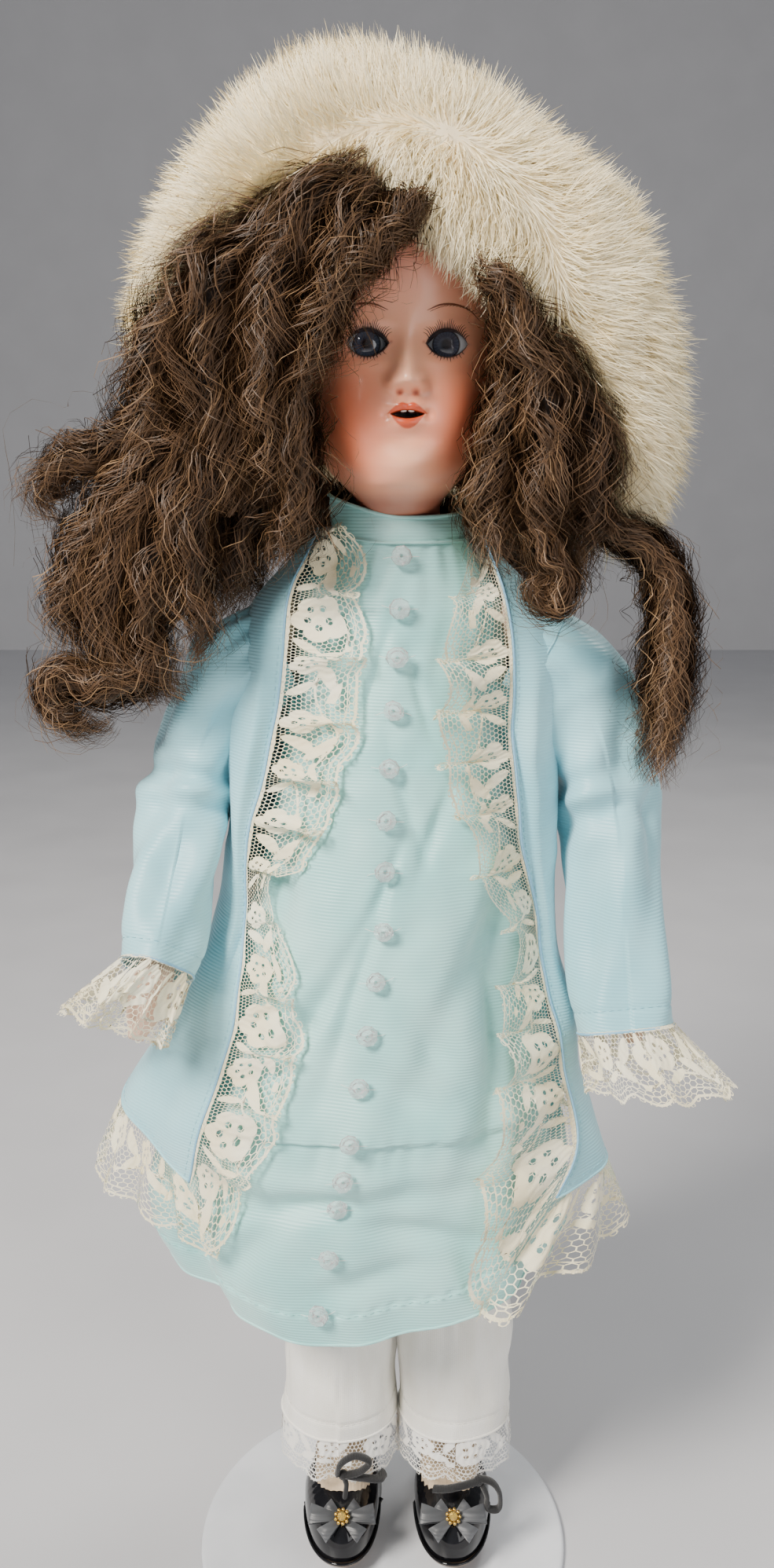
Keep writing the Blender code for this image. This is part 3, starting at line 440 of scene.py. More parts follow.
CRYSTAL = crystal_stuff("crystal_stuff", (1.0, 1.0, 1.0))
TOPAZ = crystal_stuff("topaz_stuff", (0.95, 0.78, 0.25))


def dress_up(node, stuff):
    """Gives a CAD node its finished material; its shape is already right."""
    obj = frame["nodes"][node]
    obj.data.materials.clear()
    obj.data.materials.append(stuff)


LIMBS = ("upper_arm", "forearm", "elbow_ball", "hand", "thigh", "knee_ball", "shin")
BARE_NODES = {"stand_rod": STEEL, "waist_clip": STEEL, "neck_hook": STEEL, "eye_rocker": STEEL,
              "arm_elastic": ELASTIC, "leg_elastic": ELASTIC, "stand_post": ENAMEL,
              "neck_button": WOOD, "pate": CORK, "eye_weight": LEAD, "torso": COMPOSITION}
for node, stuff in BARE_NODES.items():
    dress_up(node, stuff)
for side in SIDES:
    for limb in LIMBS:
        dress_up(side + "_" + limb, COMPOSITION)

# ---------------------------------------------------------------- the porcelain head
# z, half width, front, back of the head's outside
NECK_END, CROWN_CUT = 0.3262, 0.4285
HEAD = np.array((
    (NECK_END, 0.0060, 0.0060, 0.0060), (0.3290, 0.0098, 0.0098, 0.0098),
    (0.3340, 0.0128, 0.0126, 0.0126), (0.3400, 0.0126, 0.0124, 0.0126),
    (0.3470, 0.0126, 0.0128, 0.0140), (0.3525, 0.0122, 0.0205, 0.0170),
    (0.3575, 0.0158, 0.0278, 0.0215), (0.3620, 0.0203, 0.0301, 0.0240),
    (0.3700, 0.0246, 0.0312, 0.0280), (0.3800, 0.0264, 0.0308, 0.0320),
    (0.3945, 0.0270, 0.0302, 0.0345), (0.4080, 0.0276, 0.0306, 0.0350),
    (0.4200, 0.0266, 0.0288, 0.0330), (CROWN_CUT, 0.0240, 0.0245, 0.0290)))
EYE_X, EYE_Z = 0.0106, EYE_AXLE.z
EYE_HALF, EYE_TOP, EYE_LOW, EYE_TILT = 0.0056, 0.0036, 0.0034, 0.03
MOUTH_Z, MOUTH_HALF, LIP_HALF = 0.3762, 0.0048, 0.0054
FACE_SHIFT = 0.0019  # the features look a little to the left of the head's middle
FACE_X = DOLL_X + FACE_SHIFT
SQUARE = 2.12       # how square the head's outline is


def head_axis(z):
    share = np.clip((z - 0.340) / 0.018, 0, 1)
    return BODY_Y + (HEAD_Y - BODY_Y) * share


def opening(across, up, half, top, low):
    """How far inside an opening a point lies, in metres; negative outside."""
    aside = np.abs(across)
    return np.where(aside < half, np.minimum(top - up, up + low), -np.abs(aside - half) - np.abs(up))


def eye_edge(x, z):
    """The nearer eye opening, a little tilted."""
    u = np.abs(x) - EYE_X
    span = np.clip(1 - np.abs(u / EYE_HALF) ** 2.1, 0, 1)
    return opening(u, z - EYE_Z - EYE_TILT * u, EYE_HALF, EYE_TOP * span ** 0.75, EYE_LOW * span ** 0.85)


def mouth_edge(x, z):
    span = np.clip(1 - (np.abs(x) / MOUTH_HALF) ** 2, 0, 1)
    return opening(x, z - MOUTH_Z, MOUTH_HALF, 0.0010 * span, 0.0013 * span)


def lips(x, z):
    """1 on the painted lips, 0 off them."""
    w = z - MOUTH_Z
    side = np.clip(np.abs(x) / LIP_HALF, 0, 1)
    top = 0.0034 * (1 - side ** 1.7) - 0.0008 * bell(x, 0.0011)
    low = -0.0038 * (1 - np.clip(np.abs(x) / 0.0046, 0, 1) ** 2.0)
    inside = np.minimum(top - w, w - low)
    return step(-0.00018, 0.00022, inside) * (np.abs(x) < LIP_HALF)


def relief(x, z):
    """How far the face stands forward of the plain head, in metres."""
    a = np.abs(x)
    e, m = EYE_Z, MOUTH_Z

    def swell(rows):
        return sum(height * bump(side, z, *place) for height, side, *place in rows)

    out = swell((
        (2.2, a, 0.0150, m - 0.0010, 0.0085, 0.0095), (0.9, x, 0, e + 0.016, 0.020, 0.010),
        (-2.1, a, 0.0100, e + 0.0006, 0.0066, 0.0058), (0.9, a, EYE_X, e + 0.0048, 0.0060, 0.0018),
        (0.7, a, EYE_X, e - 0.0050, 0.0060, 0.0020)))
    ridge = 0.9 + 3.7 * step(e + 0.004, e - 0.0095, z)
    keep = step(e + 0.012, e + 0.001, z) * step(e - 0.0135, e - 0.0100, z)
    out += ridge * np.exp(-(x / (0.0030 + 0.0006 * step(e, e - 0.010, z))) ** 2) * keep
    for row in (
            (1.7, x, 0, e - 0.0092, 0.0034, 0.0026), (1.9, a, 0.0037, e - 0.0104, 0.0019, 0.0020),
            (-1.5, a, 0.0021, e - 0.0127, 0.0009, 0.0008), (2.0, x, 0, m + 0.0008, 0.0085, 0.0055),
            (-0.45, x, 0, m + 0.0048, 0.0010, 0.0018), (0.9, a, 0.0019, m + 0.0022, 0.0022, 0.0012),
            (1.1, x, 0, m - 0.0025, 0.0032, 0.0013), (-0.9, x, 0, m - 0.0060, 0.0055, 0.0018),
            (2.4, x, 0, m - 0.0130, 0.0080, 0.0050), (-0.7, x, 0, m - 0.0195, 0.0090, 0.0012),
            (-0.9, a, 0.0058, m - 0.0002, 0.0012, 0.0014)):
        out += swell((row,))
    return out * MM


def face_y(x, z):
    """The front of the face at that place; x counts from the middle of the features."""
    _, width, front, _ = smooth(HEAD[:, 0], HEAD, z).T
    round_off = np.clip(1 - np.abs((x + FACE_SHIFT) / width) ** SQUARE, 0, 1) ** (1 / SQUARE)
    return head_axis(z) - front * round_off - relief(x, z)


def face_colour(x, z, front):
    """Painted bisque: peach skin, coral cheeks, red lips, dark rims round the eyes, with painted shade
    under the chin, down the neck and inside the mouth opening.
    """
    a = np.abs(x)
    e, m = EYE_Z, MOUTH_Z
    rim = eye_edge(x, z)
    skin = np.tile(np.array((0.97, 0.46, 0.29)), (len(x), 1))
    for colour, share in (
            ((0.92, 0.42, 0.30), step(e + 0.002, e + 0.022, z)),
            ((0.98, 0.22, 0.10), 0.78 * bump(a, z, 0.0155, m + 0.0010, 0.0105, 0.0135) * front),
            ((0.96, 0.22, 0.10), 0.60 * bump(a, z, 0.0130, m - 0.010, 0.0115, 0.0090) * front),
            ((0.98, 0.50, 0.31), 0.75 * bump(x, z, 0, m - 0.011, 0.0085, 0.0050) * front),
            ((0.98, 0.52, 0.34), 0.6 * bump(x, z, 0, e - 0.008, 0.0045, 0.0080) * front),
            # painted shade: a darker band in the crease under the chin, then the underside of the chin and
            # the neck painted dark
            ((0.62, 0.24, 0.18), 0.35 * bump(x, z, 0, m - 0.0205, 0.0140, 0.0022)),
            ((0.42, 0.12, 0.075), 0.85 * step(0.3575, 0.3525, z)),
            ((0.55, 0.16, 0.10), 0.9 * bump(a, z, 0.0021, e - 0.0128, 0.0009, 0.0007) * front),
            ((0.60, 0.17, 0.10), 0.8 * bump(a, z, 0.0043, e + 0.0001, 0.00035, 0.00035) * front),
            ((0.66, 0.085, 0.020), lips(x, z) * front),
            # painted shade: near black on the walls inside the mouth opening
            ((0.030, 0.004, 0.003), step(-0.0001, 0.0003, mouth_edge(x, z)) * front),
            ((0.55, 0.30, 0.24), 0.5 * step(-0.0016, -0.0004, rim) * front),
            ((0.020, 0.014, 0.014), step(-0.00042, -0.00016, rim) * front)):
        skin = skin + (np.array(colour) - skin) * np.clip(share, 0, 1)[:, None]
    return skin


def make_head():
    dense = np.linspace(-1.12, 1.12, 250)
    coarse = np.linspace(1.12, TAU - 1.12, 62)[1:-1]
    turn = np.concatenate([dense, coarse]) - math.pi / 2
    zs = np.unique(np.concatenate([np.linspace(NECK_END, 0.350, 26), np.linspace(0.350, 0.402, 230),
                                   np.linspace(0.402, CROWN_CUT, 40)]))
    _, width, front, back = (c[:, None] for c in smooth(HEAD[:, 0], HEAD, zs).T)
    c, s = np.cos(turn)[None], np.sin(turn)[None]
    reach = np.where(s > 0, back, front)
    x = width * np.sign(c) * np.abs(c) ** (2 / SQUARE)
    y = head_axis(zs)[:, None] + reach * np.sign(s) * np.abs(s) ** (2 / SQUARE)
    z = np.broadcast_to(zs[:, None], x.shape)
    on_face = step(0.0, 0.45, -s) * np.ones_like(x)
    near = x - FACE_SHIFT
    y = y - relief(near, z) * on_face
    eye, mouth = eye_edge(near, z), mouth_edge(near, z)
    y = y + on_face * (0.0034 * step(-0.00005, 0.00055, eye) + 0.0030 * step(-0.00005, 0.0005, mouth))
    points = xyz(DOLL_X + x, y, z)
    tint = face_colour(near.ravel(), z.ravel(), on_face.ravel())
    faces = grid_faces(*x.shape, wrap=True)
    hole = ((np.maximum(eye, mouth) > 0.0006) & (on_face > 0.5)).ravel()
    faces = faces[~hole[faces].all(1)]
    head = build("porcelain_head", points.reshape(-1, 3), faces, BISQUE, tint=tint)
    wear(head, "head", "head", slot="bisque")

    # the dark cup behind the mouth, painted shade inside the open mouth, and two small upper teeth
    a = circle(24)
    depth = float(face_y(np.array([0.0]), np.array([MOUTH_Z]))[0])
    rows = [xyz(FACE_X + 0.0056 * k * np.cos(a), depth + d, MOUTH_Z + 0.0026 * k * np.sin(a))
            for k, d in ((1.0, 0.0022), (1.0, 0.0042), (0.6, 0.0050), (0.05, 0.0052))]
    dark = sheet("mouth_shade_cup", np.stack(rows), INK, wrap=True)
    wear(dark, "head", "head")
    teeth = []
    for side in (-1, 1):
        middle = np.array((FACE_X + side * 0.00105, depth + 0.0013, MOUTH_Z + 0.0013))
        u = np.linspace(0.02, math.pi - 0.02, 12)
        v = circle(16)
        across = np.sign(np.cos(v)) * np.abs(np.cos(v)) ** 0.6
        deep = np.sign(np.sin(v)) * np.abs(np.sin(v)) ** 0.8
        ring = np.sin(u) ** 0.5
        grid = xyz(middle[0] + 0.00098 * ring[:, None] * across, middle[1] + 0.0007 * ring[:, None] * deep,
                   middle[2] + 0.0009 * np.cos(u)[:, None])
        teeth.append(sheet("tooth_part", grid, TEETH, wrap=True))
    both = joined("two_teeth", teeth)
    wear(both, "head", "upper_teeth", slot="teeth")


def brush_strokes(name, strokes, stuff):
    """Painted lines lying on the face: each is points (x, z) and a half width for every point."""
    parts = []
    for line, half in strokes:
        line = along(np.asarray(line, float), 14)
        half = np.interp(np.linspace(0, 1, 14), np.linspace(0, 1, len(half)), half)
        way = np.gradient(line, axis=0)
        way = unit(way)
        side = np.stack([-way[:, 1], way[:, 0]], 1)
        grid = []
        for share in (-1, 0, 1):
            at = line + side * (half * share)[:, None]
            y = face_y(at[:, 0], at[:, 1]) - 0.00005 - 0.00003 * (share == 0)
            grid.append(xyz(FACE_X + at[:, 0], y, at[:, 1]))
        parts.append(sheet("stroke_part", np.stack(grid), stuff))
    obj = joined(name, parts)
    wear(obj, "head", "head")
    return obj


def make_painting():
    """Brows and painted lashes."""
    lashes, brows = [], []
    for sign in (-1, 1):
        for k in range(25):
            u = -0.0049 + 0.0098 * k / 24
            span = max(0.0, 1 - abs(u / 0.0056) ** 2.1)
            lean = u / 0.0056
            for up in (1, -1):
                if up < 0 and (k % 2 or abs(lean) > 0.86):
                    continue
                edge = 0.0036 * span ** 0.75 if up > 0 else -0.0034 * span ** 0.85
                length = (0.0025 if up > 0 else 0.0014) * (0.85 + 0.25 * math.sin(7.3 * k))
                x, z = sign * (EYE_X + u), EYE_Z + 0.03 * u + edge + up * 0.0001
                tip = (x + sign * length * 0.9 * lean, z + up * length * (1 - 0.45 * abs(lean)))
                middle = (x + sign * length * 0.38 * lean, z + up * length * 0.58 * (1 - 0.3 * abs(lean)))
                lashes.append(([(x, z), middle, tip], (0.00011, 0.00009, 0.00002)))
        arch = [(sign * (EYE_X + u), EYE_Z + w) for u, w in
                ((-0.0055, 0.0078), (-0.002, 0.0093), (0.002, 0.0096), (0.006, 0.0086), (0.0090, 0.0064))]
        brows.append((arch, (0.00006, 0.00024, 0.00028, 0.00020, 0.00004)))
        for k in range(14):
            u = -0.0048 + k * 0.0010
            w = 0.0094 - 0.00004 * (1000 * u - 1.5) ** 2
            brows.append(([(sign * (EYE_X + u), EYE_Z + w - 0.0003),
                           (sign * (EYE_X + u + 0.0014), EYE_Z + w + 0.0004)],
                          (0.00003, 0.00008, 0.00002)))
    brush_strokes("painted_lashes", lashes, INK)
    brush_strokes("painted_brows", brows, BROW_INK)


def make_eyes():
    """Blown glass eyes: white with painted shade towards the sides, streaked slate-blue iris, soft pupil,
    and a skin lid above.
    """
    radius = 0.0075
    polar = np.concatenate([np.linspace(0.002, 0.62, 60), np.linspace(0.62, math.pi - 0.01, 36)[1:]])
    turn = circle(120)
    p, t = np.meshgrid(polar, turn, indexing="ij")
    local = xyz(np.sin(p) * np.cos(t), -np.cos(p), np.sin(p) * np.sin(t))
    streak = (np.sin(23 * t) + 0.7 * np.sin(41 * t + 1.0) + 0.5 * np.sin(67 * t + 2.0)) / 2.2
    iris, pupil = 0.50, 0.17
    white = np.array((0.74, 0.78, 0.82))
    shade = step(pupil, iris, p) * (0.55 + 0.45 * streak)
    blue = (np.array((0.032, 0.046, 0.075)) + shade[..., None] * np.array((0.085, 0.120, 0.175)))
    colour = np.where((p < iris)[..., None], blue, white)
    colour = colour * (1 - 0.85 * bell(p - iris, 0.035))[..., None]
    colour = colour * (0.03 + 0.97 * step(pupil - 0.05, pupil + 0.07, p))[..., None]
    # painted shade: the white darkens away from the front, towards the corners of the eye
    colour = colour * (1 - 0.35 * step(iris + 0.05, 1.0, p))[..., None]
    lid = step(math.radians(33), math.radians(34.5), np.arctan2(local[..., 2], -local[..., 1]))
    lid = lid * (np.arctan2(local[..., 2], -local[..., 1]) < math.radians(150))
    skin = np.array((0.94, 0.50, 0.36))
    edge = step(math.radians(36.5), math.radians(35.0), np.arctan2(local[..., 2], -local[..., 1]))
    skin = skin * (1 - 0.9 * edge)[..., None]
    colour = colour + (skin - colour) * lid[..., None]
    for side, sign in SIDES.items():
        centre = np.array((FACE_X + sign * EYE_X - 0.0002, EYE_AXLE.y + 0.0004 + 0.0005 * sign, EYE_Z))
        eye = sheet(side + "_glass_eye", centre + radius * local, EYE_GLASS, wrap=True,
                    tint=colour.reshape(-1, 3), flip=True)
        wear(eye, "eyes", side + "_eye", slot="glass_eye")


make_head()
make_painting()
make_eyes()

# ---------------------------------------------------------------- strands
def ribbons(name, paths, half, facing, stuff, tone, body, replaces, slot=None, most=46000):
    """Thin flat strands along many paths at once, as pieces of at most so many faces."""
    count, steps = paths.shape[:2]
    tangent = np.gradient(paths, axis=1)
    side = np.cross(tangent, facing)
    side = unit(side, 1e-12)
    side *= np.broadcast_to(half, (count, steps))[..., None]
    both = np.stack([paths - side, paths + side], 2)
    per = max(1, most // (steps - 1))
    made = []
    for k, start in enumerate(range(0, count, per)):
        some = both[start:start + per]
        n = len(some)
        base = (np.arange(n) * steps * 2)[:, None] + (np.arange(steps - 1) * 2)[None]
        base = base.ravel()
        faces = np.stack([base, base + 1, base + 3, base + 2], 1)
        tones = np.repeat(tone[start:start + n], steps * 2)
        fade = np.tile(np.repeat(np.linspace(0, 1, steps), 2), n)
        made.append(build(name + "_" + str(k + 1), some.reshape(-1, 3), faces, stuff,
                          tone=np.clip(tones + 0.12 * (fade - 0.5), 0, 1)))
    for obj in made:
        wear(obj, body, *replaces, slot=slot)


def lock(path, radii, locks, strands, curl, wave, rng, steps=26, spread=1.0, pale=0.0):
    """Curly strands gathered in small tresses round one guide line; lengths in millimetres."""
    guide = along(np.array(path, float), 60)
    radii = np.interp(np.linspace(0, 1, 60), np.linspace(0, 1, len(radii)), radii)
    length = np.linalg.norm(np.diff(guide, axis=0), axis=1).sum()
    _, one, two = frames_of(guide)
    paths, facing, tones = [], [], []
    for k in range(locks):
        ring = math.sqrt((k + 0.5) / locks)
        angle = k * 2.39996 + rng.uniform(-0.2, 0.2)
        phase = rng.uniform(0, TAU)
        turns = length / wave * rng.uniform(0.8, 1.25)
        hand = rng.choice((-1, 1))
        low, high = rng.uniform(-0.02, 0.16), rng.uniform(0.80, 1.03)
        tress = rng.uniform(-0.12, 0.16)
        t = np.clip(low + (high - low) * np.linspace(0, 1, steps)[None]
                    * rng.uniform(0.78, 1.06, (strands, 1)), 0, 1)
        at = t * 59
        i = np.clip(at.astype(int), 0, 58)
        f = (at - i)[..., None]
        centre = guide[i] * (1 - f) + guide[i + 1] * f
        u = one[i] * (1 - f) + one[i + 1] * f
        v = two[i] * (1 - f) + two[i + 1] * f
        r = radii[i] * (1 - f[..., 0]) + radii[i + 1] * f[..., 0]
        big = (phase + rng.normal(0, 0.40, (strands, 1))
               + hand * TAU * turns * t * rng.uniform(0.9, 1.1, (strands, 1)))
        swell = curl * (0.35 + 0.65 * t) * rng.uniform(0.75, 1.2)
        own = rng.normal(0, 1, (strands, 2))
        off = (0.75 + 1.15 * t) * 0.90 * spread
        frizz = rng.uniform(0, TAU, (strands, 4))
        fast = TAU * length * t / 6.5
        a = ring * r * np.cos(angle) + swell * np.cos(big) + own[:, :1] * off
        b = ring * r * np.sin(angle) + swell * np.sin(big) + own[:, 1:] * off
        a = a + 0.34 * np.sin(fast + frizz[:, :1]) + 0.5 * np.sin(fast * 0.37 + frizz[:, 1:2])
        b = b + 0.34 * np.sin(fast * 1.2 + frizz[:, 2:3]) + 0.5 * np.sin(fast * 0.31 + frizz[:, 3:])
        paths.append(centre + a[..., None] * u + b[..., None] * v)
        facing.append(a[..., None] * u + b[..., None] * v + 0.3 * r[..., None] * u)
        # strands standing away from their tress get a paler tone: painted light on the outer hairs, besides
        # the random tone
        loose = np.clip((np.hypot(own[:, 0], own[:, 1]) - 1.2) * 0.25, 0, 0.4)
        tones.append(np.clip(0.26 + tress + pale + rng.normal(0, 0.12, strands) + loose, 0, 1))
    return np.concatenate(paths), np.concatenate(facing), np.concatenate(tones)


# guide lines of the hair: points (x, y, z) and radii, in millimetres; then tresses, strands, curl
FACE_RIGHT = [
    ([(-2, -22, 437), (-16, -31, 428), (-25, -33, 412), (-28, -33, 396), (-27, -32, 380)], (5, 8, 8, 8, 6),
     11, 42, 3.4, 24),
    ([(-1, -25, 434), (-8, -35, 423), (-11, -39, 410), (-13, -39, 399), (-17, -38, 389), (-21, -35, 378)],
     (3, 5, 5, 5, 5, 3), 10, 40, 2.6, 17),
    ([(-24, -26, 410), (-29, -31, 395), (-31, -31, 380), (-29, -29, 366), (-31, -27, 353)], (5, 7, 7, 7, 5),
     10, 42, 2.6, 20),
    ([(11, -23, 431), (7, -32, 425), (0, -37, 417), (-7, -39, 409), (-12, -38, 401)], (3, 5, 5, 4, 3), 9,
     42, 2.2, 15),
    ([(-20, -31, 384), (-22, -29, 370), (-21, -26, 358), (-23, -24, 347), (-29, -23, 335)], (4, 6, 6, 6, 5),
     11, 42, 2.6, 20),
    ([(-22, -24, 424), (-38, -26, 414), (-45, -28, 398), (-44, -28, 380), (-42, -27, 364), (-40, -26, 350)],
     (5, 8, 10, 10, 9, 6), 14, 44, 3.6, 26),
]
FALL_RIGHT = [
    ([(-16, -14, 434), (-38, -16, 424), (-52, -18, 406), (-60, -18, 388), (-63, -17, 370), (-64, -16, 352)],
     (5, 8, 10, 10, 10, 8), 14, 44, 3.6, 26),
    ([(-50, -19, 384), (-66, -16, 372), (-79, -13, 366), (-90, -11, 362), (-95, -10, 354), (-89, -9, 347)],
     (6, 8, 7, 7, 6, 3), 11, 38, 2.6, 20),
    ([(-52, -21, 372), (-66, -18, 360), (-77, -15, 346), (-86, -12, 332), (-90, -10, 320), (-86, -9, 308)],
     (7, 9, 10, 9, 7, 5), 14, 44, 3.2, 24),
    ([(-46, -24, 372), (-55, -22, 354), (-62, -20, 336), (-66, -18, 320), (-63, -16, 306), (-57, -14, 298)],
     (7, 9, 10, 9, 7, 4), 14, 46, 3.0, 26),
    ([(-56, -21, 366), (-68, -18, 350), (-76, -16, 332), (-78, -14, 318), (-73, -12, 305), (-64, -11, 297)],
     (7, 9, 10, 9, 7, 4), 13, 42, 3.0, 24),
    ([(-30, -12, 380), (-35, -12, 364), (-38, -13, 350), (-42, -13, 336), (-45, -14, 322)], (6, 8, 8, 7, 5),
     10, 36, 3.0, 22),
    ([(-42, -25, 370), (-49, -25, 354), (-52, -24, 338), (-50, -22, 322), (-52, -20, 308)], (6, 7, 7, 5, 3),
     9, 36, 2.6, 22),
    ([(-62, -14, 312), (-72, -12, 304), (-83, -11, 302), (-92, -10, 305), (-96, -9, 297), (-88, -8, 290),
      (-78, -8, 291)], (5, 7, 7, 6, 5, 5, 3), 11, 40, 2.4, 18),
]
FALL_LEFT = [
    ([(24, -30, 414), (31, -33, 407), (35, -35, 398), (37, -34, 389), (40, -33, 379)], (3, 5, 6, 6, 5), 9,
     40, 2.6, 18),
    ([(30, -30, 404), (38, -31, 392), (43, -31, 379), (44, -31, 366), (42, -31, 354), (43, -30, 342)],
     (5, 7, 9, 10, 9, 7), 14, 46, 3.2, 24),
    ([(36, -26, 400), (48, -25, 386), (55, -24, 373), (57, -23, 360), (56, -22, 347), (54, -22, 336)],
     (5, 8, 9, 9, 8, 5), 13, 44, 3.2, 24),
    ([(40, -30, 350), (44, -30, 341), (49, -30, 333), (47, -29, 326), (41, -29, 330), (43, -29, 337)],
     (5, 6, 5, 4, 4, 3), 8, 34, 1.6, 14),
    ([(56, -19, 352), (66, -16, 346), (76, -13, 340), (82, -11, 328), (83, -10, 313), (83, -10, 298),
      (82, -10, 284), (80, -10, 272)], (6, 7, 7, 8, 9, 9, 7, 5), 17, 46, 2.4, 20),
    ([(33, -28, 396), (33, -28, 380), (30, -27, 366), (29, -26, 355), (31, -26, 344), (36, -26, 334)],
     (4, 5, 6, 7, 7, 5), 11, 42, 2.6, 20),
    ([(36, -12, 380), (40, -12, 364), (44, -13, 350), (46, -13, 338), (48, -13, 328)], (6, 8, 8, 7, 5), 10,
     36, 3.0, 22),
]
BACK = [([(x * 0.7, 26, 392), (x, 38, 372), (x * 1.15, 40, 352), (x * 1.2, 36, 334), (x * 1.1, 34, 318)],
         (6, 8, 9, 8, 4), 11, 34, 3.0, 24) for x in (-34, -17, 0, 17, 34)]
BACK += [([(s * 34, 2, 396), (s * 42, 8, 378), (s * 50, 10, 360), (s * 56, 10, 342), (s * 60, 8, 326)],
          (5, 8, 9, 8, 5), 11, 34, 3.0, 24) for s in (-1, 1)]
BACK += [([(s * 30, 18, 394), (s * 41, 25, 374), (s * 47, 27, 354), (s * 49, 26, 336), (s * 46, 24, 319)],
          (6, 9, 10, 9, 4), 12, 34, 3.0, 24) for s in (-1, 1)]
BACK += [([(x, 20, 386), (x, 24, 366), (x, 25, 348), (x * 1.1, 26, 332)], (7, 9, 9, 5), 11, 34, 2.6, 22)
         for x in (-25, -8, 9, 26)]


def make_hair():
    cap_z = np.linspace(0.348, 0.440, 40)
    profile = smooth(HEAD[:, 0], HEAD, np.clip(cap_z, 0.35, CROWN_CUT))
    shut = np.clip((cap_z - CROWN_CUT) / 0.0125, 0, 1)
    shrink = np.sqrt(np.clip(1 - shut ** 2, 0.0004, 1))
    width, front, back = ((profile[:, k] + 0.0028) * shrink for k in (1, 2, 3))
    opening = np.interp(cap_z, (0.348, 0.36, 0.385, 0.405, 0.418, 0.424, 0.44),
                        (1.75, 1.55, 1.30, 1.12, 0.80, 0.0, 0.0))
    turn = np.linspace(0, 1, 90)
    angle = opening[:, None] + (TAU - 2 * opening[:, None]) * turn[None] - math.pi / 2
    c, s = np.cos(angle), np.sin(angle)
    reach = np.where(s > 0, back[:, None], front[:, None])
    cap = xyz(DOLL_X + width[:, None] * c, HEAD_Y + reach * s, cap_z[:, None])
    wig_cap = sheet("wig_cap", cap, SCALP, wall=0.0008)
    wear(wig_cap, "head", "wig")

    rng = np.random.default_rng(5)
    for name, group in (("face_curls", FACE_RIGHT), ("right_fall", FALL_RIGHT),
                        ("left_fall", FALL_LEFT), ("back_curls", BACK)):
        paths, facing, tones, cores = [], [], [], []
        for path, radii, tresses, strands, curl, wave in group:
            p, f, t = lock(path, radii, tresses + 2, strands, curl * 0.9, wave, rng)
            paths.append(p)
            facing.append(f)
            tones.append(t)
            # a few looser strands round each lock, a little paler: painted light on the outer hair
            few, loose_f, loose_t = lock(path, np.array(radii) * 1.15, 5, 20, curl * 1.5, wave * 0.8,
                                         rng, spread=2.6, pale=0.04)
            few[..., 0] = np.clip(few[..., 0], -104, 106)
            paths.append(few)
            facing.append(loose_f)
            tones.append(loose_t)
            inner = along(np.array(path, float) * MM, 30)[1:24]
            cores.append(tube("core", inner,
                              MM * 0.55 * np.interp(np.linspace(0, 0.8, 23), np.linspace(0, 1, len(radii)),
                                                    radii) * np.sin(np.linspace(0.03, 3.11, 23)) ** 0.8,
                              SCALP, sides=9))
        core = joined(name + "_core", cores)
        wear(core, "head", "wig")
        half = 0.000105 * np.interp(np.linspace(0, 1, 26), (0, 0.1, 0.8, 1), (0.6, 1, 1, 0.35))
        ribbons(name, np.concatenate(paths) * MM, half, np.concatenate(facing), HAIR,
                np.concatenate(tones), "head", ("wig",), "mohair")


def scatter(grid, count, rng, wrap=False):
    """Random roots spread evenly over a gridded surface, with normals."""
    if wrap:
        grid = np.concatenate([grid, grid[:, :1]], 1)
    a, b, c, d = grid[:-1, :-1], grid[:-1, 1:], grid[1:, 1:], grid[1:, :-1]
    normal = np.cross(c - a, d - b).reshape(-1, 3)
    area = np.linalg.norm(normal, axis=1)
    face = rng.choice(len(area), count, p=area / area.sum())
    s, t = rng.uniform(0, 1, (2, count, 1))
    a, b, c, d = (q.reshape(-1, 3)[face] for q in (a, b, c, d))
    root = (a * (1 - s) + b * s) * (1 - t) + (d * (1 - s) + c * s) * t
    return root, normal[face] / (area[face][:, None] + 1e-12)


def make_fur(name, grid, count, length, comb, stand, rng, node, wrap=False, half=0.00020):
    """Short tapered hairs over a surface, laid over in the comb direction and a little clumped."""
    root, normal = scatter(grid, count, rng, wrap)
    lay = comb(root)
    lay = lay - (lay * normal).sum(1)[:, None] * normal
    lay = unit(lay, 1e-9)
    clump = np.stack([wobble(root[:, 0] + k, root[:, 1] + root[:, 2], 0.014, 31 + k)
                      for k in range(3)], 1)
    fine = rng.normal(0, 0.30, (count, 3))
    lift = stand * rng.uniform(0.6, 1.5, (count, 1))
    way = normal * lift + lay + 0.30 * clump + fine
    way = unit(way)
    reach = (length * rng.uniform(0.6, 1.25, (count, 1)))[:, None]
    t = np.array((0, 0.4, 0.75, 1.0))[None, :, None]
    bend = (lay - 0.8 * normal * lift + 0.4 * rng.normal(0, 1, (count, 3)))[:, None] * 0.22
    paths = root[:, None] - 0.0006 * normal[:, None] + reach * (t * way[:, None] + t * t * bend)
    tone = np.clip(0.66 + 0.14 * clump[:, 0] + rng.normal(0, 0.11, count), 0, 1)
    facing = normal[:, None] + 0.4 * rng.normal(0, 1, (count, 1, 3))
    taper = half * np.array((1.0, 0.9, 0.6, 0.12))
    ribbons(name, paths, taper, np.broadcast_to(facing, paths.shape), FUR, tone, "head", (node,),
            "fur")


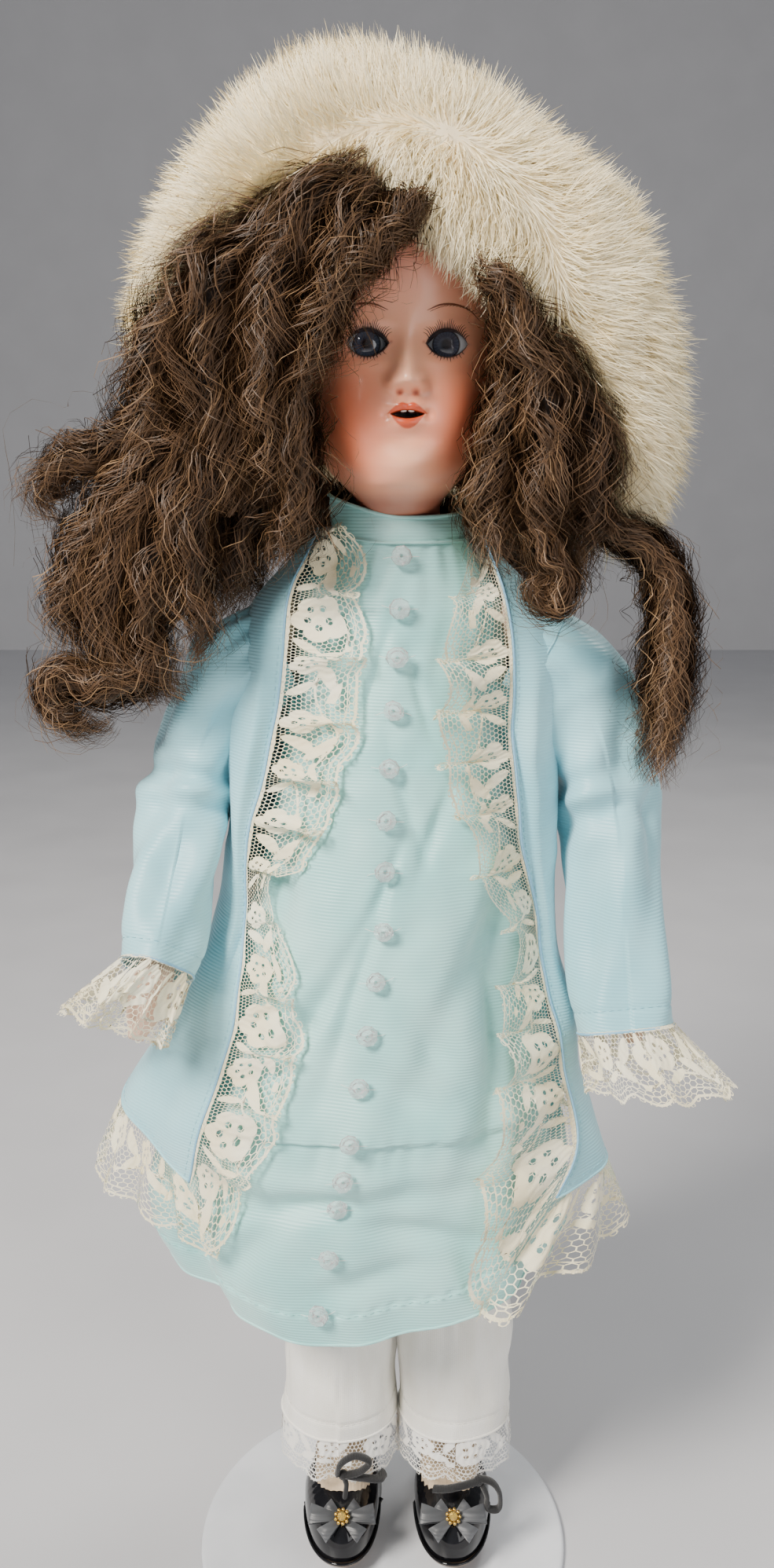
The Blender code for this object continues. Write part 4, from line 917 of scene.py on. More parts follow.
# the fur band in millimetres: outer edge x, z, inner edge x, z, and the depth of its middle
FUR_BAND = np.array((
    (70, 343, 63, 346, -4), (77, 353, 60, 355, -5), (80, 368, 58, 369, -8), (79, 388, 54, 386, -10),
    (74, 407, 45, 400, -12), (63, 429, 29, 411, -14), (46, 444, 15, 420, -15), (22, 458, 4, 432, -14),
    (-6, 466, -7, 441, -13), (-31, 457, -22, 437, -12), (-46, 443, -32, 429, -10),
    (-58, 427, -41, 415, -8), (-64, 405, -46, 400, -6), (-63, 388, -48, 388, -4),
    (-58, 372, -50, 374, -2), (-55, 364, -51, 365, -2)), float)

BAND_HAIRS, CROWN_HAIRS, CROWN_LOW = 84000, 44000, 0.3600


def make_hat():
    stations = np.linspace(0, 1, 130)
    band = smooth(np.linspace(0, 1, len(FUR_BAND)), FUR_BAND, stations) * MM
    outer, inner = band[:, :2], band[:, 2:4]
    middle, half = (outer + inner) / 2, (outer - inner) / 2
    reach = np.linalg.norm(half, axis=1, keepdims=True)
    way = half / reach
    angle = circle(56)
    ends = np.sqrt(np.clip(np.minimum(stations, 1 - stations) / 0.05, 0.02, 1))[:, None]
    deep = np.minimum(0.0130, 0.0045 + 0.55 * reach) * ends
    across = np.cos(angle)[None] * (reach * ends)
    y = band[:, 4:5] + np.sin(angle)[None] * deep + 0.42 * across
    ripple = 0.0008 * wobble(stations[:, None] * 0.23 + 0 * across, 0.06 * np.cos(angle)[None] + 0 * y,
                             0.03, 7)
    grid = xyz(middle[:, :1] + way[:, :1] * (across + ripple), y + ripple, middle[:, 1:]
               + way[:, 1:] * (across + ripple))
    base = sheet("fur_band_hide", grid, SKIN_FUR, wrap=True)
    wear(base, "head", "hat_brim")
    rng = np.random.default_rng(3)

    centre = np.array((0.004, 0.0, 0.404))

    def comb_band(p):
        away = (p - centre) * np.array((1.0, 0.15, 1.0))
        away = unit(away)
        near = step(0.047, 0.038, np.hypot(p[:, 0] - centre[0], p[:, 2] - centre[2]))[:, None]
        down = np.array((0.10, -0.30, -0.75))
        drift = 0.35 * wobble(p[:, 0], p[:, 2], 0.05, 17)[:, None] * np.array((1.0, 0, -0.6))
        return away * (1 - 1.5 * near) + down * (0.12 + 0.6 * near) + drift

    make_fur("fur_band", grid, BAND_HAIRS, 0.0090, comb_band, 0.34, rng, "hat_brim", wrap=True,
             half=0.00014)
    mark = [(0.0590, -0.0235, 0.3990), (0.0584, -0.0250, 0.3965), (0.0581, -0.0240, 0.3937)]
    thread = tube("dark_thread_in_fur", along(np.array(mark), 12), 0.00035, CORD, sides=6)
    wear(thread, "head", "hat_brim")

    v, u = np.meshgrid(np.linspace(0.0, 1.0, 60), circle(120),
                       indexing="ij")
    open_y, back_y = -0.002, 0.058
    lean = np.sin(np.pi / 2 * v)
    fade = np.sqrt(np.clip(1 - lean ** 2, 0, 1))
    x = 0.005 + 0.0600 * fade * np.cos(u)
    z = 0.404 + 0.0560 * fade * np.sin(u) - 0.004 * lean
    y = open_y + (back_y - open_y) * lean
    z = np.maximum(z, CROWN_LOW + 0.004 * np.cos(3 * u))
    y = y + 0.0010 * wobble(x, z, 0.04, 9)
    dome = xyz(x, y, z)
    crown = sheet("fur_crown_hide", dome, SKIN_FUR, wrap=True, flip=True)
    wear(crown, "head", "hat_crown")

    def comb_crown(p):
        drift = 0.5 * wobble(p[:, 0], p[:, 2], 0.05, 27)[:, None] * np.array((1.0, 0, 0.3))
        return np.array((0.0, 0.55, -0.8)) + drift

    make_fur("fur_crown", dome[:, ::-1], CROWN_HAIRS, 0.0095, comb_crown, 0.32, rng, "hat_crown", wrap=True,
             half=0.00018)


make_hair()
make_hat()

# ---------------------------------------------------------------- garments
# z, x of the doll's right and left edge, front and back depth of the dress, in millimetres
DRESS = np.array((
    (103, -60.0, 55.5, 50.0, 50.0), (118, -70.0, 60.0, 50.5, 50.5), (134, -74.0, 61.0, 49.5, 50.5),
    (152, -71.0, 59.0, 48.0, 50.0), (170, -65.5, 56.0, 46.5, 49.5), (185, -59.0, 53.0, 44.0, 49.0),
    (215, -47.5, 48.0, 39.0, 48.0), (240, -37.5, 46.5, 35.0, 47.0), (262, -34.0, 44.0, 31.0, 35.0),
    (285, -29.5, 39.5, 27.5, 27.5), (302, -26.5, 36.5, 24.8, 23.5), (318, -26.5, 36.5, 22.8, 21.5),
    (328, -24.0, 34.0, 20.6, 19.4), (336, -19.0, 29.0, 19.2, 18.2), (343, -15.4, 25.4, 18.8, 18.6)),
                 float) * MM
# the coat: as above, then where its two front edges stand
COAT = np.array((
    (146, -79.0, 73.5, 50.5, 62.0, -60.0, 53.5), (160, -83.0, 70.0, 50.4, 61.5, -57.5, 60.0),
    (184, -71.7, 62.5, 49.5, 60.0, -50.0, 56.0), (206, -60.0, 58.0, 47.0, 58.0, -43.5, 50.5),
    (244, -49.0, 53.5, 42.0, 53.5, -40.5, 44.5), (262, -48.5, 53.5, 38.5, 46.0, -38.0, 41.8),
    (285, -48.0, 54.0, 35.0, 39.0, -32.5, 38.5), (302, -46.5, 55.0, 32.0, 34.0, -29.5, 38.0),
    (318, -42.0, 51.5, 28.5, 29.0, -27.5, 37.0), (329, -35.0, 44.5, 25.0, 25.5, -25.5, 34.5),
    (338, -26.0, 35.5, 22.0, 22.5, -22.5, 31.5), (345.5, -19.5, 29.5, 20.2, 21.0, -18.5, 28.2)), float) * MM
TUCK_Z, HEM_BAND = 0.170, 0.010
DRESS_LOW, DRESS_TOP, COAT_TOP = 0.103, 0.343, 0.3455
STITCH = (0.0015, 0.0009, 0.00009)  # length, gap and half thickness of the coat's stitches
# dents in the front of the dress: turn from the front, height, half width, half height, lean, depth in mm
DENTS = ((0.62, 0.222, 0.16, 0.018, 6.0, 3.0), (0.34, 0.196, 0.12, 0.014, -14.0, 2.0),
         (0.12, 0.186, 0.16, 0.009, -20.0, 1.6), (-0.18, 0.215, 0.05, 0.022, 3.0, 1.1),
         (-0.42, 0.206, 0.09, 0.020, 8.0, 1.6), (0.06, 0.268, 0.06, 0.016, -9.0, 0.9),
         (0.30, 0.262, 0.07, 0.013, 10.0, 1.1), (-0.10, 0.245, 0.05, 0.012, 9.0, 0.9),
         (0.18, 0.300, 0.06, 0.012, -8.0, 0.8), (-0.22, 0.306, 0.05, 0.010, 10.0, 0.7),
         (-0.35, 0.1485, 0.22, 0.0055, 40.0, 1.5), (0.28, 0.141, 0.20, 0.0060, -40.0, 1.6),
         (0.02, 0.127, 0.18, 0.0060, 30.0, 1.3), (-0.55, 0.132, 0.10, 0.012, 12.0, 1.6),
         (0.55, 0.128, 0.10, 0.012, -10.0, 1.6))


def ring(table, z):
    row = smooth(table[:, 0], table, np.asarray(z, float))
    return [row[..., k] for k in range(1, table.shape[1])]


def hem_z(x):
    """The dress hem: lowest to the doll's right of the middle, climbing to its left."""
    return (0.1060 + 0.017 * np.clip((x + 0.020) / 0.081, 0, 1) ** 1.5
            + 0.007 * np.clip((-0.020 - x) / 0.045, 0, 1) ** 1.5)


def dress_folds(turn, z, fine=True):
    """Outward movement of the dress cloth; turn is measured from the front, positive to the doll's left."""
    side = 0.42 + 0.58 * step(0.45, 1.25, np.abs(turn))
    low = step(0.262, 0.125, z)
    out = low * side * 1.35 * (1.7 * np.cos(6 * turn + 1.2 + 9 * z)
                               + 1.2 * np.cos(10 * turn + 2.1 - 14 * z)
                               + 0.8 * np.cos(17 * turn + 0.4))
    out += 3.0 * bell(turn - 0.52 - 3.2 * (z - 0.205), 0.13) * step(0.262, 0.225, z) * step(0.150, 0.185, z)
    out -= 3.2 * bell(turn - 0.78 - 3.0 * (z - 0.205), 0.10) * step(0.265, 0.225, z) * step(0.150, 0.180, z)
    out += 1.7 * bell(turn - 0.15 - 5.0 * (z - 0.200), 0.16) * step(0.245, 0.215, z) * step(0.168, 0.185, z)
    out += 1.8 * bell(turn + 0.62 + 2.4 * (z - 0.200), 0.16) * step(0.255, 0.225, z) * step(0.150, 0.180, z)
    out += (0.7 * bell(z - 0.250 - 0.012 * (turn - 0.7), 0.0035) * step(0.25, 0.6, turn)
            * step(1.6, 1.0, turn))
    out += 1.5 * step(0.184, 0.1712, z) * step(TUCK_Z - 0.0003, TUCK_Z + 0.0004, z)
    rumple = 0.6 + 0.4 * np.cos(3 * turn + 0.6)
    out += 1.3 * rumple * bell(z - 0.1585 - 0.0015 * np.sin(4 * turn), 0.0040)
    out -= 1.2 * rumple * bell(z - 0.1515 - 0.0015 * np.sin(4 * turn), 0.0035)
    out += 1.3 * wobble(0.05 * turn, z, 0.050, 3) * step(0.34, 0.30, z)
    out += (0.8 * np.cos(9.0 * (turn * 0.9 + (z - 0.25) * 16)) * step(0.12, 0.5, np.abs(turn))
            * step(0.325, 0.295, z) * step(0.20, 0.245, z))
    # soft dents: the pull of each thread on the front, the hollow beside the waist and the drag lines
    for dent_turn, dent_z, wide, tall, lean, deep in DENTS:
        u = turn - dent_turn - lean * (z - dent_z)
        out -= 1.9 * deep * np.exp(-(u / wide) ** 2 - ((z - dent_z) / tall) ** 2)
    if fine:
        out += 0.22 * np.cos(46 * turn + 6 * np.sin(5 * turn)) * bell(z - TUCK_Z + 0.003, 0.0060)
        out += 0.25 * wobble(0.05 * turn, z, 0.016, 4)
    return out * MM


def garment_point(table, turn, z, out):
    left, right, front, back = ring(table, z)[:4]
    middle, half = (left + right) / 2, (right - left) / 2
    c = np.cos(turn)
    deep = np.where(c > 0, front, back)
    return xyz(middle + (half + out) * np.sin(turn), BODY_Y - (deep + out) * c, z)


def dress_front(x, z):
    """The dress surface's y in front, at x and z."""
    left, right, front, _ = ring(DRESS, z)
    share = np.clip((x - (left + right) / 2) / ((right - left) / 2), -0.98, 0.98)
    turn = np.arcsin(share)
    return BODY_Y - (front + dress_folds(turn, z, fine=False)) * np.cos(turn)


def stitches(name, line, length, gap, half, stuff, body, *nodes):
    """Short raised stitches along a line of points."""
    line = np.asarray(line, float)
    knots = np.concatenate([[0], np.cumsum(np.linalg.norm(np.diff(line, axis=0), axis=1))])
    starts = np.arange(0, knots[-1] - length, length + gap)
    share = np.linspace(0, 1, 4)
    at = starts[:, None] + length * share[None]
    path = np.stack([np.interp(at, knots, line[:, k]) for k in range(3)], -1)
    angle = TAU * np.arange(5) / 5
    way = np.gradient(path, axis=1)
    way = unit(way, 1e-12)
    side = np.cross(way, (0.13, 0.21, 0.97))
    side = unit(side, 1e-12)
    other = np.cross(way, side)
    r = half * np.array((0.5, 1, 1, 0.5))[None, :, None, None]
    points = (path[:, :, None] + r
              * (np.cos(angle)[:, None] * side[:, :, None] + np.sin(angle)[:, None] * other[:, :, None]))
    count = len(starts)
    base = (np.arange(count) * 20)[:, None]
    quads = (base[:, :, None] + grid_faces(4, 5, wrap=True)[None]).reshape(-1, 4)
    caps = np.concatenate([base + np.arange(4, -1, -1)[None], base + 15 + np.arange(5)[None]])
    obj = build(name, points.reshape(-1, 3), [quads, caps], stuff)
    return wear(obj, body, *nodes)


def make_dress():
    turn = np.linspace(-math.pi, math.pi, 380, endpoint=False)
    levels = np.unique(np.concatenate([np.linspace(DRESS_LOW, DRESS_TOP, 170),
                                       np.linspace(0.166, 0.178, 24),
                                       np.linspace(DRESS_LOW, 0.118, 16)]))[:, None] + 0 * turn[None]
    x0 = garment_point(DRESS, turn[None] + 0 * levels, levels, 0)[..., 0]
    low = hem_z(x0)
    z = low + (levels - DRESS_LOW) * (DRESS_TOP - low) / (DRESS_TOP - DRESS_LOW)
    above = z - low
    out = dress_folds(turn[None], z)
    out = out + 0.0004 * step(HEM_BAND + 0.0002, HEM_BAND - 0.0002, above)
    out = out + 0.0004 * bell(above - HEM_BAND, 0.0012) * np.cos(70 * turn)[None]
    out = out - 0.0005 * bell(above - HEM_BAND, 0.0005)
    grid = garment_point(DRESS, turn[None] + 0 * z, z, out)
    wear(sheet("dress_cloth", grid, AQUA, wrap=True), "body", "dress", slot="taffeta")
    wear(tube("dress_hem_roll", grid[0], 0.00045, AQUA, sides=6, closed=True), "body", "dress")
    row = np.argmin(np.abs(above[:, 0] - HEM_BAND))
    line = grid[row] + xyz(0.0004 * np.sin(turn), -0.0004 * np.cos(turn), 0)
    stitches("dress_hem_stitches", line, 0.0016, 0.0009, 0.00010, AQUA, "body", "dress")

    turn = np.linspace(-math.pi, math.pi, 160, endpoint=False)
    v = np.linspace(0, 1, 26)[:, None]
    tall = 0.0070 + 0.0025 * (1 - np.cos(turn)) / 2
    rise = np.clip(-np.sin(turn), 0, 1) ** 1.4 * step(-0.9, 0.2, np.cos(turn))
    z = 0.3425 + tall * v - 0.0004 * np.cos(turn) + 0.0050 * rise * (0.35 + 0.65 * v)
    swell = 0.0005 * np.sin(np.pi * v) + 0.0002 * wobble(0.02 * turn[None] + 0 * v, 0.01 * v, 0.01, 5)
    lip = 0.0006 * step(0.06, 0.0, v) + 0.0003 * step(0.94, 1.0, v)
    half = 0.0196 - 0.0014 * v + swell + lip + 0.0022 * rise * v
    front = 0.0190 - 0.0016 * v + swell + lip
    grid = xyz(DOLL_X + half * np.sin(turn), BODY_Y - front * np.cos(turn), z)
    collar = sheet("collar_band", grid, AQUA, wrap=True)
    wear(collar, "body", "dress_collar", slot="taffeta")
    wear(tube("collar_fold", grid[-1], 0.00055, AQUA, sides=8, closed=True), "body", "dress_collar")
    wear(tube("collar_seam", grid[0] + np.array((0, 0, -0.0001)), 0.00035, AQUA, sides=6, closed=True),
         "body", "dress_collar")
    back = [garment_point(DRESS, np.array([math.pi]), np.array([q]),
                          dress_folds(np.array([math.pi]), np.array([q])) + 0.0004)[0]
            for q in np.linspace(0.342, 0.250, 40)]
    wear(tube("back_placket", back, 0.0006, AQUA, sides=6), "body", "dress")


BEAD_STEPS = (0, 14.5, 28, 43, 59.5, 74, 88.5, 105.5, 120, 135.5, 151, 166, 177.5, 188, 202.5, 221)


def make_beads():
    """Sixteen faceted rings of clear glass sewn down the front."""
    parts, threads = [], []
    rng = np.random.default_rng(8)
    for drop in BEAD_STEPS:
        z = 0.3385 - drop * MM
        x = 0.0055 - 0.0045 * step(0.339, 0.250, z) - 0.020 * np.clip((0.238 - z) / 0.12, 0, 1) ** 1.1
        y = float(dress_front(np.array([x]), np.array([z]))[0]) - 0.0011
        radius = 0.0032 * rng.uniform(0.94, 1.06)
        spin, lean = rng.uniform(0, TAU), rng.uniform(-0.22, 0.22, 2)
        major = TAU * np.arange(9) / 9
        minor = TAU * np.arange(5) / 5 + 0.3
        tube_r = radius * 0.44
        far = radius - tube_r + tube_r * np.cos(minor)
        local = xyz(far[None] * np.cos(major + spin)[:, None], tube_r * 0.9 * np.sin(minor),
                    far[None] * np.sin(major + spin)[:, None])
        local = local * rng.uniform(0.95, 1.05, (9, 5, 1))
        turned = local.reshape(-1, 3) @ np.array(
            (Matrix.Rotation(lean[0], 3, "X") @ Matrix.Rotation(lean[1], 3, "Z")))
        ring_faces = grid_faces(10, 5, wrap=True) % 45
        parts.append(build("bead_part", turned + (x, y - tube_r, z), ring_faces, CRYSTAL, smooth=False))
        for side in (-1, 1):
            way = rng.uniform(-0.5, 0.5)
            tail = [(x, y - tube_r * 0.9, z), (x + side * 0.0012, y - 0.0012, z + 0.0004 * way),
                    (x + side * 0.0034, y - 0.0010, z + 0.0012 * way),
                    (x + side * 0.0052, y - 0.0002, z + 0.0030 * way)]
            threads.append(tube("thread_part", along(tail, 10), 0.00008, WHITE_LACE, sides=4))
    beads = joined("crystal_beads", parts)
    beads.data.polygons.foreach_set("use_smooth", [False] * len(beads.data.polygons))
    wear(beads, "body", "crystal_buttons", slot="crystal")
    wear(joined("bead_threads", threads), "body", "crystal_buttons")


COAT_HEM = ((0, 0.146), (0.10, 0.149), (0.22, 0.152), (0.50, 0.160), (0.78, 0.169), (0.90, 0.163),
            (1, 0.152))


def coat_surface(share, v, lift=0.0):
    """The coat: share goes round from its left front edge to its right, v from hem 0 to neck 1."""
    share, v = np.broadcast_arrays(np.asarray(share, float), np.asarray(v, float))
    knots = np.array(COAT_HEM)
    low = smooth(knots[:, 0], knots[:, 1], share)
    z = low + (COAT_TOP - low) * v
    left, right, front, back, edge_l, edge_r = ring(COAT, z)
    middle, half = (left + right) / 2, (right - left) / 2
    start = np.arcsin(np.clip((edge_r - middle) / half, -0.999, 0.999))
    end = TAU + np.arcsin(np.clip((edge_l - middle) / half, -0.999, 0.999))
    turn = start + (end - start) * share
    skirt = step(0.262, 0.165, z)
    side = np.sin(math.pi * share) ** 0.5
    out = (skirt * side * (3.2 * np.cos(5 * turn + 0.8) + 1.8 * np.cos(9 * turn + 2.0 - 10 * z)
                           + 0.8 * np.cos(15 * turn)))
    out = out + 1.4 * wobble(0.05 * turn, z, 0.05, 13) + 0.3 * wobble(0.05 * turn, z, 0.018, 14)
    out = out + 0.9 * bell(z - 0.248, 0.004) * np.cos(8 * turn + 1.0) * side
    out = out - 1.0 * bell(share - 0.5, 0.012) * step(0.33, 0.30, z) * 0.6
    out = out * MM + lift
    c = np.cos(turn)
    deep = np.where(c > 0, front, back)
    x, y = middle + (half + out) * np.sin(turn), BODY_Y - (deep + out) * c
    close = (0.45 * step(0.05, 0.0, np.minimum(share, 1 - share)) * step(0.17, 0.22, z)
             * step(0.325, 0.285, z))
    return xyz(x, y + (dress_front(x, z) - 0.0030 - lift - y) * close, z)


def make_coat():
    share = np.unique(np.concatenate([np.linspace(0, 1, 380), np.linspace(0, 0.03, 12),
                                      np.linspace(0.97, 1, 12)]))
    v = np.linspace(0, 1, 180)
    grid = coat_surface(share[None], v[:, None])
    wear(sheet("coat_cloth", grid, SKY, flip=True), "body", "coat", slot="coat_taffeta")
    for name, column in (("left_front", 0), ("right_front", -1)):
        edge = along(grid[:, column], 170)
        wear(tube("coat_piping_" + name, edge, 0.00045, PIPING, sides=7), "body", "coat")
    hem = along(grid[0], 300)
    wear(tube("coat_hem_roll", hem, 0.00042, SKY, sides=6), "body", "coat")
    for name, at in (("left_front", 0.0075), ("right_front", 0.9925)):
        seam = coat_surface(np.full(120, at), np.linspace(0.004, 0.995, 120), 0.00012)
        stitches("coat_edge_stitches_" + name, seam, *STITCH, SKY, "body", "coat")
    line = coat_surface(np.linspace(0.008, 0.992, 240), np.full(240, 0.012), 0.00012)
    stitches("coat_hem_stitches", line, *STITCH, SKY, "body", "coat")
    for name, at in (("back", 0.5), ("left_side", 0.24), ("right_side", 0.76)):
        seam = coat_surface(np.full(120, at), np.linspace(0.0, 0.93 if name != "back" else 1, 120), 0.0001)
        wear(tube("coat_seam_" + name, seam, 0.00022, SKY, sides=5), "body", "coat")
    neck = along(grid[-1], 120)
    wear(tube("coat_neck_edge", neck, 0.0005, PIPING, sides=7), "body", "coat")


# sleeve centre x, y, z, direction x, y, z, half width across, half depth; sleeve space in millimetres
SLEEVES = {
    "right": ((-29, 8, 312, -1.0, 0, -0.30, 14.0, 14.5), (-42, 8, 303, -0.8, 0, -0.70, 15.8, 15.2),
              (-52, 8.5, 287, -0.45, 0, -0.9, 14.8, 14.8), (-58.5, 7, 267, -0.30, -0.25, -0.9, 14.2, 14.2),
              (-62.5, -6, 244, -0.2, -0.52, -0.82, 12.8, 13.6),
              (-66.4, -24, 219.3, -0.208, -0.561, -0.801, 10.8, 14.0)),
    "left": ((39, 8, 312, 1.0, 0, -0.30, 14.0, 14.5), (54, 8, 303, 0.8, 0, -0.70, 16.4, 15.6),
             (64, 8.5, 287, 0.45, 0, -0.9, 15.8, 15.4), (69.5, 7, 264, 0.18, -0.15, -0.95, 15.4, 15.0),
             (71.8, -3.5, 232, 0.12, -0.34, -0.93, 14.8, 14.4),
             (74.0, -16.8, 197.6, 0.105, -0.34, -0.935, 14.6, 13.2))}


def sleeve_surface(side, share, turn, lift=0.0):
    sign = SIDES[side]
    share, turn = np.broadcast_arrays(np.asarray(share, float), np.asarray(turn, float))
    table = np.array(SLEEVES[side], float)
    knots = np.linspace(0, 1, len(table))
    row = smooth(knots, table, share)
    centre, way = row[..., :3] * MM, row[..., 3:6]
    way = unit(way)
    front = np.array((0.0, -1.0, 0.0))
    deep = front - (way * front).sum(-1)[..., None] * way
    deep = unit(deep)
    across = np.cross(way, deep)
    phase = 0.0 if sign > 0 else 1.7
    out = ((1.5 * np.cos(3 * turn + 9 * share + phase) + 1.0 * np.cos(5 * turn - 16 * share + 2 * phase))
           * step(0, 0.3, share))
    bend = bell(share - 0.60, 0.075)
    out = (out + 2.0 * bend * np.cos(52 * share + 2.2 * np.cos(turn + phase))
           * (0.5 + 0.5 * np.cos(turn - 0.5)))
    out = out + 1.5 * bell(share - 0.22 - 0.05 * np.cos(turn), 0.04) * np.cos(turn + 0.8 * sign)
    out = out + 0.5 * np.cos(14 * turn) * step(0.22, 0.10, share)
    out = (out + 0.9 * wobble(0.016 * turn, 0.1 * share, 0.03, 21 + sign)
           + 0.25 * wobble(0.016 * turn, 0.1 * share, 0.01, 23 + sign))
    out = out - 0.5 * bell(share - 0.965, 0.004)
    out = out * MM * step(1.05, 0.93, share) + lift
    wide, thick = row[..., 6] * MM + out, row[..., 7] * MM + out
    return centre + (np.sin(turn) * wide)[..., None] * across + (np.cos(turn) * thick)[..., None] * deep


def make_sleeve(side):
    turn = circle(180)
    table = np.array(SLEEVES[side], float) * MM
    split = 0.42
    upper = sleeve_surface(side, np.linspace(0, split, 80)[:, None], turn[None])
    lower = sleeve_surface(side, np.linspace(split, 1, 120)[:, None], turn[None])
    arm, fore, node = side + "_upper_arm", side + "_forearm", side + "_sleeve"
    shoulder = ("body", arm, table[0, :3], table[1, :3] * 0.4 + table[2, :3] * 0.6)
    hinge(sheet(side + "_sleeve_top", upper, SKY, wrap=True), node, "coat_taffeta", *shoulder)
    hinge(sheet(side + "_sleeve_lower", lower, SKY, wrap=True), node, "coat_taffeta", arm, fore,
         table[2, :3] * 0.55 + table[3, :3] * 0.45, table[3, :3] * 0.45 + table[4, :3] * 0.55)
    hem = sleeve_surface(side, 1.0, turn)
    wear(tube(side + "_sleeve_hem", hem, 0.00045, PIPING, sides=7, closed=True), fore, side + "_sleeve")
    line = sleeve_surface(side, 0.965, turn, 0.0003)
    stitches(side + "_sleeve_stitches", np.concatenate([line, line[:1]]), *STITCH, SKY, fore, side
             + "_sleeve")
    seam = sleeve_surface(side, 0.10, turn, 0.0002)
    hinge(tube(side + "_armhole_seam", seam, 0.0003, SKY, sides=5, closed=True), node, None, *shoulder)


make_dress()
make_beads()
make_coat()
for name in SIDES:
    make_sleeve(name)

# ---------------------------------------------------------------- lace
def motif(a, b, shift):
    """Positive inside the dense sprays of the lace; a runs along it and b across, in millimetres."""
    def oval(ca, cb, lean, long, short):
        u, v = a_ - ca, b - cb
        c, s = math.cos(lean), math.sin(lean)
        return (1 - np.sqrt(((u * c + v * s) / long) ** 2 + ((v * c - u * s) / short) ** 2)) * short

    period = 46.0
    a_ = (a + shift) % period
    best = 0.5 + 0.3 * np.abs(np.sin(np.pi * a / 3.2)) - b
    for ca, cb, size in ((11.0, 8.6, 7.6), (32.0, 6.6, 5.2)):
        u, v = a_ - ca, b - cb
        r, t = np.hypot(u, v), np.arctan2(v, u)
        petals = size * (0.74 + 0.26 * np.abs(np.cos(2.5 * t + 0.4)) ** 0.6) - r
        for k in range(5):
            angle = (TAU * k - 0.8) / 5 + 0.1
            hole = 0.13 * size - np.hypot(u - 0.40 * size * np.cos(angle), v - 0.40 * size * np.sin(angle))
            petals = np.minimum(petals, -hole)
        best = np.maximum(best, petals)
    for leaf in ((21.5, 6.4, 1.0, 5.0, 1.7), (23.5, 12.6, 2.3, 4.2, 1.5), (38.5, 11.8, 0.6, 5.0, 1.7),
                 (42.5, 5.0, 2.1, 4.0, 1.5), (44.0, 14.6, 2.6, 3.4, 1.2), (30.0, 13.6, 0.4, 3.2, 1.2)):
        best = np.maximum(best, oval(*leaf))
    for ca, cb in ((18.8, 16.6), (35.2, 16.8)):
        best = np.maximum(best, 0.9 - np.hypot(a_ - ca, b - cb))
    stem = 0.34 - np.abs(b - 12.6 - 3.4 * np.sin(TAU * (a_ - 6) / period))
    return np.maximum(best, stem)


